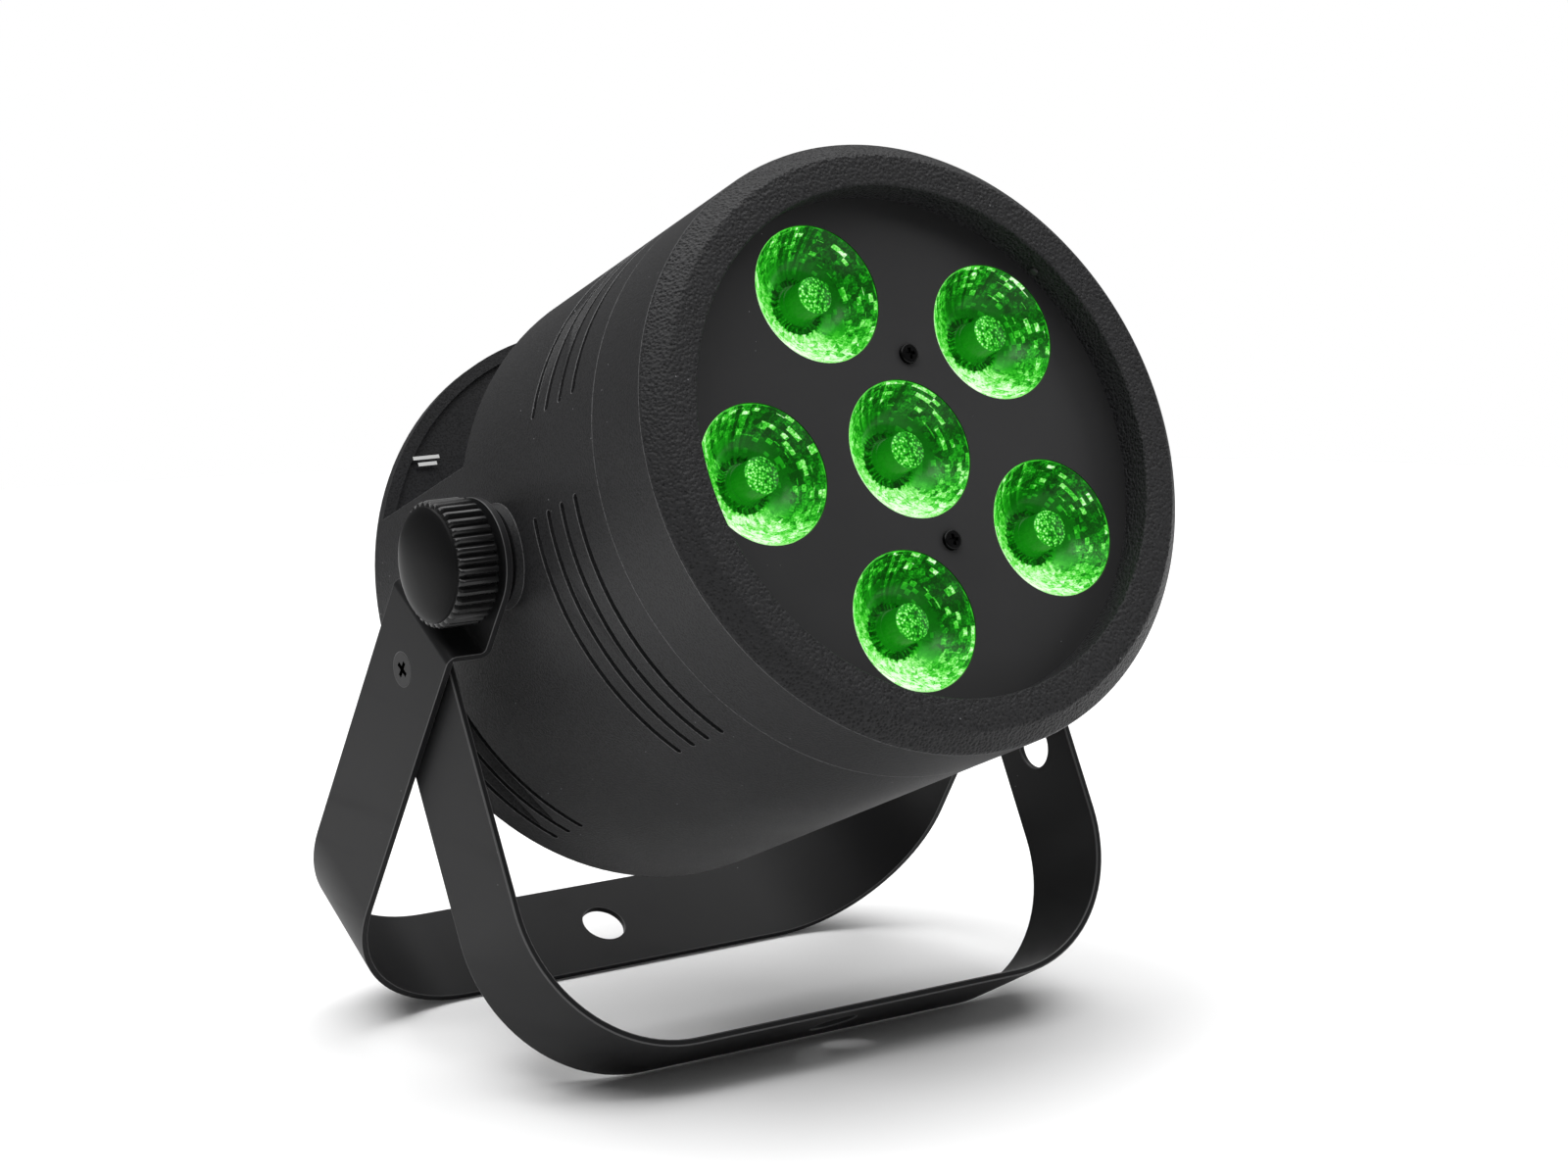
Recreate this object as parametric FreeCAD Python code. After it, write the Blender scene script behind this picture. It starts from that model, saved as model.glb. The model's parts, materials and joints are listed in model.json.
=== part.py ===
"""Par can light standing on its double yoke, modelled in millimetres.

The lamp head is built in its own frame: x across, y towards the back, z up,
with y = 0 on the front plate and the optical axis along -y. It is then tilted
about the yoke knobs and the whole light is moved so that the origin is the
centre of the footprint.
"""
import math
import os

import FreeCAD
import Part

os.makedirs("parts", exist_ok=True)
V = FreeCAD.Vector

# ---------------------------------------------------------------- head sizes
BODY_R = 87.5            # outer radius of the can
WALL = 3.0               # wall of the can
CAN_LENGTH = 132.8       # collar seam to rear cover
SEAM_Y = 22.2            # collar meets can
SPIGOT_GAP = 0.15        # radial, spigots of bezel and can in the collar
BEZEL_LIP = 14.3         # can's outer radius to the bezel's opening
BEZEL_FACE_W = 9.0       # flat face of the bezel
BEZEL_FACE_Y = -10.0     # front face of the bezel
BEZEL_BACK_Y = -3.5      # back edge of the chamfer, bezel meets collar
PLATE_LAP = 2.6          # front plate behind the bezel's lip
PLATE_T = 2.0
PLATE_GAP = 0.3          # front plate to its seat, radial
GASKET_T = 1.2
GASKET_W = 3.3
SHELF_T = 2.5            # collar shelf behind the gasket
SHELF_W = 12.5

LENS_R = 20.0            # lens aperture
LENS_MARGIN = 3.7        # outer lenses to the bezel's opening
OUTER_LENSES = 5
LENS_PHASE = 39.0        # degrees
LENS_DEPTH = 19.0
LENS_GAP = 0.1           # lens to plate, radial

BAY_LENGTH = 54.0        # connector bay, from its front wall to the rear cover
BAY_WALL = 2.5
CHEEK_Z = 33.4           # top edge of the cheeks beside the bay
PANEL_Z = 24.0           # top face of the connector panel
PANEL_T = 1.5
LEDGE_T = 2.5            # ledge under the panel
LEDGE_W = 12.5
COVER_T = 5.0            # rear cover

SLOT_W = 2.0
SLOT_PITCH = 7.75
FRONT_SLOT_Y = 35.0
REAR_SLOT_LEAD = 23.0    # first rear slot ahead of the rear cover
FRONT_GROUPS = [(106.0, 156.4), (176.7, 227.0)]   # degrees round the can
REAR_GROUP = (183.0, 233.3)
FRONT_SLOTS = 4
REAR_SLOTS = 3

TILT_Y = 82.8            # knob axis, behind the front plate
TILT_Z = 1.9             # knob axis, above the optical axis
BOSS_R = 15.0            # tilt boss on the can
BOSS_H = 2.4             # tilt boss above the can
BOSS_ROOT = 8.0          # tilt boss inside the can

# ------------------------------------------------------------- inside the can
BOARD_Y = 21.5           # front face of the LED board
BOARD_T = 1.6
BOARD_ROOM = 14.5        # LED board to the can's inner wall
SINK_T = 6.0             # base of the heat sink
SINK_ROOM = 8.5          # heat sink to the can's inner wall
FIN_H = 30.0
FIN_T = 2.0
FIN_PITCH = 8.0
LUG_R = 5.0              # lugs behind the heat sink
LUG_ANGLES = (60.0, 180.0, 300.0)
PLATE_SCREW_OUT = 7.7    # front plate screws outside the middle lens
PLATE_SCREW_ANGLES = (75.0, -78.0)
SINK_SCREW_IN = 6.0      # sink screws inside the LED board's edge
COVER_SCREW_IN = 8.5     # cover screws inside the can's outer radius
COVER_SCREW_ANGLES = (-20.0, 200.0, 250.0, 290.0)
POST_R = 4.5             # screw posts of the rear cover
CONTROL_LEAD = 7.0       # control board ahead of the rear cover
CONTROL_HALF = (38.0, 27.0, 19.0)        # half width, below and above the axis
CONTROL_POST_X = (-34.0, 34.0)
CONTROL_POST_Z = (-23.0, 15.0)
DISPLAY = (-19.0, 19.0, -2.0, 14.0)      # x0, x1, z0, z1 of the window
BUTTON_X = [-27.0, -9.0, 9.0, 27.0]
BUTTON_Z = -17.0
BUTTON_R = 3.5
BUTTON_OUT = 1.4         # button cap proud of the cover
BUTTON_TRAVEL = 0.6
BUTTON_SLACK = 0.3
SWITCH_H = 3.6
SUPPLY_ROOM = 32.5       # supply board above the can's inner wall
SUPPLY_LENGTH = 72.0
SUPPLY_LEAD = 9.0        # supply tray ahead of the rear cover
TRAY_T = 1.2
TRAY_HALF_W = 44.0

# ------------------------------------------------------------- connector bay
POWER_X = {"inlet": -57.0, "outlet": -26.0}
SIGNAL_X = {"in": 10.0, "out": 42.0}
FUSE_X = 63.5
FLANGE_HALF = (13.0, 15.5)
FLANGE_T = 2.0
SCREW_OFFSET = (9.5, 12.0)
POWER_R = 12.0
POWER_DEPTH = 22.0
SIGNAL_R = 11.8
SIGNAL_DEPTH = 18.0
SOCKET_BORE = 9.6
SOCKET_GAP = 0.1         # socket barrel in its panel hole, radial
SOCKET_FLOOR = 3.0
PIN_R = 1.2
PIN_PITCH_R = 4.3
PIN_ANGLES = (200.0, 340.0, 270.0)
LATCH = (-2.5, 2.5, 10.9, 13.9)          # x0, x1, y0, y1 from the socket's axis
LATCH_GAP = 0.35
LATCH_TRAVEL = 1.8
FUSE_BORE = 5.2
FUSE_R = 2.6

# --------------------------------------------------------------- yoke sizes
STRIP_W = 35.0
STRIP_T = 2.0
BEND_R = 3.0             # sharp bends of the joggle
JOGGLE_OUT = 11.5        # outer face of the arm outside the knob tab
BASE_ROOM = 37.5         # reach of the yoke beyond the can's radius
YOKE_BEND_R = 48.0       # outer bend radius
JOGGLE_LOW = 19.0        # lower face of the joggle above the stand pivot
PIVOT_DROP = 40.6        # knob axis to stand pivot, along the arm
PIVOT_SHIFT = 1.5        # stand pivot behind the arm's centreline
SIDE_GAP = 1.0           # yoke arm to stand arm
NEST_GAP = 0.5           # yoke base to stand base when folded
STAND_SHIFT = 3.0        # stand arm's centreline ahead of its pivot
STAND_END_DROP = 5.5     # centre of the stand arm's round end below its pivot
OPENING = 60.2           # degrees between yoke and stand
ARM_TO_HEAD = 55.9       # degrees, yoke arm against the head's own downward line
HOOK_HOLE_R = 7.0
SAFETY_DROP = 53.0       # safety hole below the stand pivot
BASE_MARK_X = 40.0       # where the base face is measured

# ------------------------------------------------------------- fastener sizes
RUN = 0.06               # radial clearance of every running fit
FACE_GAP = 0.3           # axial clearance between faces that turn
SMALL_SCREW_R = 1.5      # M3 screws of plate, sink, cover and connectors
PAN_HEAD_R = 2.9         # M3 pan head
PAN_HEAD_H = 1.3
STUD_R = 4.0             # knob stud, M8
STUD_SINK = 8.0          # stud inside the knob
BUSH_T = 3.0             # wall of the tilt bush
RING_T = 2.3             # rubber ring on the tilt boss
RING_R = 13.0
WASHER_T = 0.8
PIVOT_R = 2.5            # stand pivot screw, M5
PIVOT_HEAD_R = 5.0
PIVOT_WASHER_T = 0.65
NUT_H = 4.7
NUT_R = 4.6
KNOB_R = 18.0
KNOB_LEN = 12.5
KNOB_DOME = 3.4
KNOB_RIBS = 36
RIB_R = 0.95
KNOB_GAP = 2.0           # yoke tab to the ribs of the knob

# ------------------------------------------------- places that follow from these
INNER_R = BODY_R - WALL
BEZEL_OPEN_R = BODY_R - BEZEL_LIP
BEZEL_FACE_R = BEZEL_OPEN_R + BEZEL_FACE_W
PLATE_R = BEZEL_OPEN_R + PLATE_LAP
LENS_PITCH_R = BEZEL_OPEN_R - LENS_MARGIN - LENS_R
COVER_Y = SEAM_Y + CAN_LENGTH
BACK_Y = COVER_Y + COVER_T
NOTCH_Y = COVER_Y - BAY_LENGTH
BAY_MID_Y = (NOTCH_Y + COVER_Y) / 2
CONTROL_Y = COVER_Y - CONTROL_LEAD
SWITCH_TOP_Y = CONTROL_Y + BOARD_T + SWITCH_H
BOARD_R = INNER_R - BOARD_ROOM
SINK_R = INNER_R - SINK_ROOM
SINK_Y = BOARD_Y + BOARD_T
SINK_BACK_Y = SINK_Y + SINK_T
SUPPLY_Z = SUPPLY_ROOM - INNER_R
SUPPLY_Y = COVER_Y - SUPPLY_LEAD - SUPPLY_LENGTH
BOSS_X = BODY_R + BOSS_H
INSERT_R = STUD_R + BUSH_T
TAB_X = BOSS_X + RING_T + FACE_GAP + STRIP_T
KNOB_X = TAB_X + KNOB_GAP
YOKE_HALF_W = TAB_X + JOGGLE_OUT
YOKE_REACH = BODY_R + BASE_ROOM
STAND_HALF_W = YOKE_HALF_W - STRIP_T - SIDE_GAP
STAND_REACH = YOKE_REACH - NEST_GAP - STRIP_T
WASHER_X = STAND_HALF_W - STRIP_T - SIDE_GAP + PIVOT_WASHER_T   # inside the stand arm


# ------------------------------------------------------------------- helpers
def box(x0, x1, y0, y1, z0, z1):
    """Box between two corners."""
    return Part.makeBox(x1 - x0, y1 - y0, z1 - z0, V(x0, y0, z0))


def rod(r, p, d, length):
    """Cylinder from p along d."""
    return Part.makeCylinder(r, length, V(*p), V(*d))


def rod_y(r, y0, y1, x=0.0, z=0.0):
    """Cylinder along y."""
    return rod(r, (x, y0, z), (0, 1, 0), y1 - y0)


def rod_x(r, x0, x1, y=0.0, z=0.0):
    """Cylinder along x."""
    return rod(r, (x0, y, z), (1, 0, 0), x1 - x0)


def rod_z(r, z0, z1, x=0.0, y=0.0):
    """Cylinder along z."""
    return rod(r, (x, y, z0), (0, 0, 1), z1 - z0)


def ring_y(r_out, r_in, y0, y1, x=0.0, z=0.0):
    """Tube along y."""
    return rod_y(r_out, y0, y1, x, z).cut(rod_y(r_in, y0 - 1, y1 + 1, x, z))


def ring_x(r_out, r_in, x0, x1, y=0.0, z=0.0):
    """Tube along x."""
    return rod_x(r_out, x0, x1, y, z).cut(rod_x(r_in, x0 - 1, x1 + 1, y, z))


def ring_z(r_out, r_in, z0, z1, x=0.0, y=0.0):
    """Tube along z."""
    return rod_z(r_out, z0, z1, x, y).cut(rod_z(r_in, z0 - 1, z1 + 1, x, y))


def spin_y(profile):
    """Solid of revolution about y from (r, y) points."""
    pts = [V(r, y, 0) for r, y in profile]
    face = Part.Face(Part.makePolygon(pts + pts[:1]))
    return face.revolve(V(0, 0, 0), V(0, 1, 0), 360)


def prism(points, vec):
    """Extrude a closed polygon of vectors."""
    return Part.Face(Part.makePolygon(points + points[:1])).extrude(vec)


def fuse(shapes):
    """Union of a list, with merged faces."""
    out = shapes[0]
    if len(shapes) > 1:
        out = shapes[0].multiFuse(shapes[1:])
    return out.removeSplitter()


def cut(shape, tools):
    """Subtract a list of tools."""
    return shape.cut(Part.Compound(tools)) if tools else shape


def polar(r, deg):
    """Point in the x, z plane."""
    return r * math.cos(math.radians(deg)), r * math.sin(math.radians(deg))


def mirrored(shape):
    """Copy mirrored left to right."""
    return shape.mirror(V(0, 0, 0), V(1, 0, 0))


def pair(shape):
    """The shape and its mirror copy."""
    return [shape, mirrored(shape)]


def cross_recess(r, depth, normal_y, y, x=0.0, z=0.0):
    """Cross-shaped driver recess on a screw head that faces -y or +y."""
    y0, y1 = (y - 0.1, y + depth) if normal_y < 0 else (y - depth, y + 0.1)
    wing = r * 0.16
    return [box(x - r * 0.55, x + r * 0.55, y0, y1, z - wing, z + wing),
            box(x - wing, x + wing, y0, y1, z - r * 0.55, z + r * 0.55)]


def pan_screw_y(length, y, side, x, z):
    """Pan head screw; side -1 has its head in front of y, +1 behind it."""
    top, end = y + side * PAN_HEAD_H, y - side * length
    head = rod_y(PAN_HEAD_R, min(y, top), max(y, top), x, z)
    shank = rod_y(SMALL_SCREW_R, min(y, end), max(y, end), x, z)
    edges = [e for e in head.Edges if abs(e.BoundBox.YMin - top) < 1e-6
             and abs(e.BoundBox.YMax - top) < 1e-6]
    head = head.makeFillet(PAN_HEAD_H * 0.45, edges)
    return cut(fuse([head, shank]), cross_recess(PAN_HEAD_R, PAN_HEAD_H * 0.6, side, top, x, z))


def lens_spots():
    """Centres of the lenses in the front plate."""
    outer = [polar(LENS_PITCH_R, LENS_PHASE + 360.0 / OUTER_LENSES * i)
             for i in range(OUTER_LENSES)]
    return [(0.0, 0.0)] + outer


PLATE_SCREWS = [polar(LENS_R + PLATE_SCREW_OUT, a) for a in PLATE_SCREW_ANGLES]
SINK_SCREWS = [polar(BOARD_R - SINK_SCREW_IN, 3.0 + 120.0 * i) for i in range(3)]
COVER_SCREWS = [polar(BODY_R - COVER_SCREW_IN, a) for a in COVER_SCREW_ANGLES]
PIN_SPOTS = [polar(PIN_PITCH_R, a) for a in PIN_ANGLES]


# --------------------------------------------------------------- front of can
def bezel_ring():
    """Chamfered front ring with the plate seat and a spigot into the collar."""
    seat_r = PLATE_R + PLATE_GAP
    spigot_r = INNER_R - SPIGOT_GAP
    return spin_y([(BEZEL_OPEN_R, BEZEL_FACE_Y + 0.6), (BEZEL_OPEN_R + 0.6, BEZEL_FACE_Y),
                   (BEZEL_FACE_R, BEZEL_FACE_Y), (BODY_R - 0.1, BEZEL_BACK_Y - 1.0),
                   (BODY_R - 0.1, BEZEL_BACK_Y), (spigot_r, BEZEL_BACK_Y),
                   (spigot_r, 3.0), (seat_r, 3.0), (seat_r, 0.0), (BEZEL_OPEN_R, 0.0)])


def front_collar():
    """Plain ring between bezel and can, with a shelf under the front plate."""
    shelf_y = PLATE_T + GASKET_T
    shelf_r = INNER_R - SHELF_W
    return spin_y([(INNER_R, BEZEL_BACK_Y), (BODY_R, BEZEL_BACK_Y), (BODY_R, SEAM_Y - 0.3),
                   (BODY_R - 0.5, SEAM_Y), (INNER_R, SEAM_Y), (INNER_R, shelf_y + SHELF_T),
                   (shelf_r, shelf_y + SHELF_T), (shelf_r, shelf_y), (INNER_R, shelf_y)])


def front_plate():
    """Black face plate with the lens apertures."""
    tools = [rod_y(LENS_R, -1, PLATE_T + 1, x, z) for x, z in lens_spots()]
    tools += [rod_y(SMALL_SCREW_R, -1, PLATE_T + 1, x, z) for x, z in PLATE_SCREWS]
    return cut(rod_y(PLATE_R, 0, PLATE_T), tools)


def plate_gasket():
    """Flat seal behind the edge of the front plate."""
    return ring_y(PLATE_R, PLATE_R - GASKET_W, PLATE_T, PLATE_T + GASKET_T)


def lens():
    """Collimator lens: flared cone with a front well and a pocket for the LED."""
    rim = LENS_R - LENS_GAP
    return spin_y([(0, 5.2), (8.2, 5.8), (8.6, 0.6), (rim - 0.9, 0.2), (rim, 0.7),
                   (rim, 3.0), (rim - 4.3, 9.0), (rim - 8.9, 14.4), (7.4, LENS_DEPTH),
                   (4.6, LENS_DEPTH), (4.1, 12.6), (0, 11.2)])


def lens_holder():
    """Sleeve that carries one lens on the LED board."""
    mouth = LENS_R - 8.4
    return spin_y([(mouth, 14.0), (mouth + 1.4, 14.0), (9.6, BOARD_Y), (6.2, BOARD_Y),
                   (6.2, LENS_DEPTH), (7.6, LENS_DEPTH)])


def led_chip(x, z):
    """Square multi-colour emitter with a low dome."""
    base = box(x - 3.2, x + 3.2, BOARD_Y - 1.0, BOARD_Y, z - 3.2, z + 3.2)
    return base.fuse(rod_y(2.4, BOARD_Y - 1.8, BOARD_Y - 1.0, x, z))


def led_board():
    """Round metal-core board."""
    tools = [rod_y(SMALL_SCREW_R, BOARD_Y - 1, BOARD_Y + 3, x, z) for x, z in PLATE_SCREWS]
    tools += [rod_y(SMALL_SCREW_R, BOARD_Y - 1, BOARD_Y + 3, x, z) for x, z in SINK_SCREWS]
    wire_notch = rod_y(5.0, BOARD_Y - 1, BOARD_Y + 3, 0, 1.0 - BOARD_R)
    return cut(rod_y(BOARD_R, BOARD_Y, SINK_Y), tools + [wire_notch])


def heat_sink():
    """Aluminium plate with straight fins."""
    parts = [rod_y(SINK_R, SINK_Y, SINK_BACK_Y)]
    fin_r = SINK_R - FIN_T
    count = int((fin_r - FIN_PITCH) / FIN_PITCH)
    for i in range(-count, count + 1):
        x = i * FIN_PITCH
        half = math.sqrt(fin_r ** 2 - x * x) - FIN_T
        parts.append(box(x - FIN_T / 2, x + FIN_T / 2, SINK_BACK_Y - 0.5, SINK_BACK_Y + FIN_H,
                         -half, half))
    tools = [rod_y(SMALL_SCREW_R, SINK_Y - 1, SINK_Y + 5.0, x, z)
             for x, z in PLATE_SCREWS + SINK_SCREWS]
    return cut(fuse(parts), tools)


def plate_standoffs():
    """Threaded pillars between LED board and front plate."""
    return [ring_y(3.0, SMALL_SCREW_R, PLATE_T, BOARD_Y, x, z) for x, z in PLATE_SCREWS]


def plate_screws():
    """Pan head screws in the front plate, down through the pillars to the sink."""
    depth = SINK_Y + 4.5
    return [pan_screw_y(depth, 0.0, -1, x, z) for x, z in PLATE_SCREWS]


def sink_screws():
    """Screws that clamp the LED board to the sink."""
    return [pan_screw_y(BOARD_T + 4.5, BOARD_Y, -1, x, z) for x, z in SINK_SCREWS]


# --------------------------------------------------------------------- the can
def slot(y, a0, a1):
    """Ring-wise slot through the wall with round ends."""
    half = SLOT_W / 2
    r0, r1 = INNER_R - 3, BODY_R + 3
    band = ring_y(r1, r0, y - half, y + half)
    mid, span = math.radians((a0 + a1) / 2), (a1 - a0) / 2
    far = 2 * r1
    wedge = [V(0, y - 5, 0)]
    for k in range(-4, 5):
        a = mid + math.radians(span) * k / 4
        wedge.append(V(far * math.cos(a), y - 5, far * math.sin(a)))
    out = [band.common(prism(wedge, V(0, 10, 0)))]
    for a in (a0, a1):
        x, z = polar(1.0, a)
        out.append(rod(half, (x * r0, y, z * r0), (x, 0, z), r1 - r0))
    return out


def vent_tools():
    """Every vent slot, both sides."""
    tools = []
    for a0, a1 in FRONT_GROUPS:
        for i in range(FRONT_SLOTS):
            tools += slot(FRONT_SLOT_Y + i * SLOT_PITCH, a0, a1)
    for i in range(REAR_SLOTS):
        tools += slot(COVER_Y - REAR_SLOT_LEAD + i * SLOT_PITCH, *REAR_GROUP)
    return tools + [mirrored(t) for t in tools]


def bay_void(low, front, half_w):
    """Space above a height, from a front face to beyond the cover."""
    return box(-half_w, half_w, front, COVER_Y + 1, low, BODY_R + 10)


def can_shell():
    """Main can with spigot, tilt bosses, bay walls and screw bosses."""
    tube = ring_y(BODY_R, INNER_R, SEAM_Y, COVER_Y)
    spigot = ring_y(INNER_R - SPIGOT_GAP, INNER_R - 2.4, SEAM_Y - 7.0, SEAM_Y + 5.0)
    web = ring_y(INNER_R + 0.5, INNER_R - 2.4, SEAM_Y + 0.2, SEAM_Y + 5.0)
    core = rod_y(INNER_R + 0.5, NOTCH_Y - 3, COVER_Y)
    wall = bay_void(PANEL_Z - 4.0, NOTCH_Y - BAY_WALL, INNER_R)
    wall = wall.cut(bay_void(0, NOTCH_Y, BODY_R)).common(core)
    ledge = box(INNER_R - LEDGE_W, BODY_R, NOTCH_Y, COVER_Y, PANEL_Z - PANEL_T - LEDGE_T,
                PANEL_Z - PANEL_T).common(core)
    bosses = pair(rod_x(BOSS_R, INNER_R - BOSS_ROOT, BOSS_X, TILT_Y, TILT_Z))
    posts = [rod_y(POST_R, COVER_Y - 14, COVER_Y, x, z) for x, z in COVER_SCREWS]
    lug_spots = [polar(INNER_R - POST_R, a) for a in LUG_ANGLES]
    lugs = [rod_y(LUG_R, SINK_BACK_Y, SINK_BACK_Y + 6, x, z) for x, z in lug_spots]
    body = fuse([tube, spigot, web] + bosses)
    body = cut(body, [bay_void(CHEEK_Z, NOTCH_Y, BODY_R + 10)])
    body = fuse([body, wall] + pair(ledge) + posts + lugs)
    holes = pair(rod_x(INSERT_R, INNER_R - BOSS_ROOT - 1, BOSS_X + 1, TILT_Y, TILT_Z))
    holes += [rod_y(SMALL_SCREW_R, COVER_Y - 12, COVER_Y + 1, x, z) for x, z in COVER_SCREWS]
    room = bay_void(PANEL_Z, NOTCH_Y, INNER_R).common(rod_y(INNER_R, NOTCH_Y - 1, COVER_Y + 1))
    return cut(body, vent_tools() + holes + [room])


def tilt_inserts():
    """Steel bushes in the bosses that take the knob studs."""
    root = INNER_R - BOSS_ROOT
    flange = ring_x(INSERT_R + 3.5, STUD_R + RUN, root - 2.0, root, TILT_Y, TILT_Z)
    sleeve = ring_x(INSERT_R, STUD_R + RUN, root, BOSS_X, TILT_Y, TILT_Z)
    return pair(fuse([flange, sleeve]))


# ---------------------------------------------------------------- rear cover
def rear_cover():
    """Round cover with a raised rim, display window and button holes."""
    r = BODY_R - 0.2
    disc = spin_y([(0, COVER_Y + 1.5), (r - 3.7, COVER_Y + 1.5), (r - 3.7, COVER_Y),
                   (r, COVER_Y), (r, BACK_Y - 1.2), (r - 1.2, BACK_Y), (0, BACK_Y)])
    x0, x1, z0, z1 = DISPLAY
    posts = [rod_y(POST_R, COVER_Y, COVER_Y + 2, x, z) for x, z in COVER_SCREWS]
    tools = [box(x0, x1, COVER_Y, BACK_Y + 1, z0, z1)]
    tools += [rod_y(BUTTON_R + BUTTON_SLACK, COVER_Y, BACK_Y + 1, x, BUTTON_Z)
              for x in BUTTON_X]
    tools += [rod_y(1.6, COVER_Y - 1, BACK_Y + 1, x, z) for x, z in COVER_SCREWS]
    return cut(fuse([disc] + posts), tools)


def cover_screws():
    """Screws that hold the rear cover."""
    return [pan_screw_y(14.0, BACK_Y, 1, x, z) for x, z in COVER_SCREWS]


def display_window():
    """Clear window with a rear flange."""
    x0, x1, z0, z1 = DISPLAY
    pane = box(x0, x1, COVER_Y + 0.3, BACK_Y - 0.3, z0, z1)
    flange = box(x0 - 2, x1 + 2, COVER_Y + 0.1, COVER_Y + 1.5, z0 - 2, z1 + 2)
    return fuse([pane, flange])


def display_module():
    """Four-digit display on the control board."""
    x0, x1, z0, z1 = DISPLAY
    return box(x0 + 1, x1 - 1, CONTROL_Y + BOARD_T, COVER_Y - 0.2, z0 + 1, z1 - 1)


def control_post_spots():
    """Corners of the control board that are held."""
    return [(x, z) for x in CONTROL_POST_X for z in CONTROL_POST_Z]


def control_board():
    """Board behind the display and buttons."""
    half_w, low, high = CONTROL_HALF
    plate = box(-half_w, half_w, CONTROL_Y, CONTROL_Y + BOARD_T, -low, high)
    return cut(plate, [rod_y(SMALL_SCREW_R, CONTROL_Y - 1, CONTROL_Y + 3, x, z)
                       for x, z in control_post_spots()])


def control_posts():
    """Spacers and screws that carry the control board on the cover."""
    out = []
    for x, z in control_post_spots():
        spacer = rod_y(3.0, CONTROL_Y + BOARD_T, COVER_Y + 1.5, x, z)
        screw = rod_y(SMALL_SCREW_R, CONTROL_Y, CONTROL_Y + BOARD_T, x, z)
        head = rod_y(2.7, CONTROL_Y - 1.6, CONTROL_Y, x, z)
        out.append(fuse([spacer, screw, head]))
    return out


def switch_bodies():
    """Tact switches under the buttons."""
    return [box(x - 3, x + 3, CONTROL_Y + BOARD_T, SWITCH_TOP_Y, BUTTON_Z - 3, BUTTON_Z + 3)
            for x in BUTTON_X]


def button(x):
    """Round key with a collar that keeps it behind the cover."""
    foot_y = SWITCH_TOP_Y + BUTTON_TRAVEL + FACE_GAP
    top_y = BACK_Y + BUTTON_OUT
    cap = rod_y(BUTTON_R, foot_y, top_y, x, BUTTON_Z)
    top = [e for e in cap.Edges if abs(e.BoundBox.YMin - top_y) < 1e-6]
    cap = cap.makeFillet(0.6, top)
    collar = rod_y(BUTTON_R + 1.4, foot_y, COVER_Y + 1.1, x, BUTTON_Z)
    return fuse([cap, collar])


# ------------------------------------------------------------- connector bay
def connector_screw_spots():
    """Two diagonal screws per panel connector."""
    dx, dy = SCREW_OFFSET
    xs = list(POWER_X.values()) + list(SIGNAL_X.values())
    return [(x + s * dx, BAY_MID_Y - s * dy) for x in xs for s in (-1, 1)]


def connector_panel():
    """Steel panel in the floor of the bay."""
    half = math.sqrt((INNER_R - 0.3) ** 2 - PANEL_Z ** 2)
    plate = box(-half, half, NOTCH_Y + 0.1, COVER_Y - 0.1, PANEL_Z - PANEL_T, PANEL_Z)
    tools = [rod_z(POWER_R, PANEL_Z - 5, PANEL_Z + 1, x, BAY_MID_Y) for x in POWER_X.values()]
    tools += [rod_z(SIGNAL_R, PANEL_Z - 5, PANEL_Z + 1, x, BAY_MID_Y)
              for x in SIGNAL_X.values()]
    tools += [rod_z(6.0, PANEL_Z - 5, PANEL_Z + 1, FUSE_X, BAY_MID_Y)]
    tools += [rod_z(SMALL_SCREW_R, PANEL_Z - 5, PANEL_Z + 1, x, y)
              for x, y in connector_screw_spots()]
    tools += [latch_slot_box()]
    return cut(plate, tools)


def flange_plate(x, bore_r):
    """Connector flange with its two screw holes."""
    half_x, half_y = FLANGE_HALF
    dx, dy = SCREW_OFFSET
    plate = box(x - half_x, x + half_x, BAY_MID_Y - half_y, BAY_MID_Y + half_y,
                PANEL_Z, PANEL_Z + FLANGE_T)
    uprights = [e for e in plate.Edges if e.BoundBox.ZLength > FLANGE_T - 0.1]
    plate = plate.makeFillet(2.0, uprights)
    tools = [rod_z(bore_r, PANEL_Z - 1, PANEL_Z + 3, x, BAY_MID_Y)]
    tools += [rod_z(SMALL_SCREW_R, PANEL_Z - 1, PANEL_Z + 3, x + s * dx, BAY_MID_Y - s * dy)
              for s in (-1, 1)]
    return cut(plate, tools)


def power_socket(x, key_deg):
    """Locking mains socket: barrel, floor, core with three blade slots and a key."""
    low = PANEL_Z - POWER_DEPTH
    outer = POWER_R - SOCKET_GAP
    barrel = ring_z(outer, SOCKET_BORE, low, PANEL_Z + 1.0, x, BAY_MID_Y)
    floor = rod_z(outer, low - SOCKET_FLOOR, low, x, BAY_MID_Y)
    core = rod_z(6.2, low - 1.0, PANEL_Z - 4.0, x, BAY_MID_Y)
    slots = []
    for i in range(3):
        px, py = polar(3.6, 90.0 + 120.0 * i)
        slots.append(box(x + px - 1.5, x + px + 1.5, BAY_MID_Y + py - 0.6, BAY_MID_Y + py + 0.6,
                         low + 2.0, PANEL_Z))
    kx, ky = polar(SOCKET_BORE - 0.4, key_deg)
    key = box(x + kx - 1.0, x + kx + 1.0, BAY_MID_Y + ky - 1.6, BAY_MID_Y + ky + 1.6,
              low, PANEL_Z - 2.0)
    tabs = [box(x + s * 4.5 - 0.8, x + s * 4.5 + 0.8, BAY_MID_Y - 3, BAY_MID_Y + 3,
                low - 9.0, low - 2.5) for s in (-1, 1)]
    return cut(fuse([flange_plate(x, outer), barrel, floor, core, key] + tabs), slots)


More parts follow.
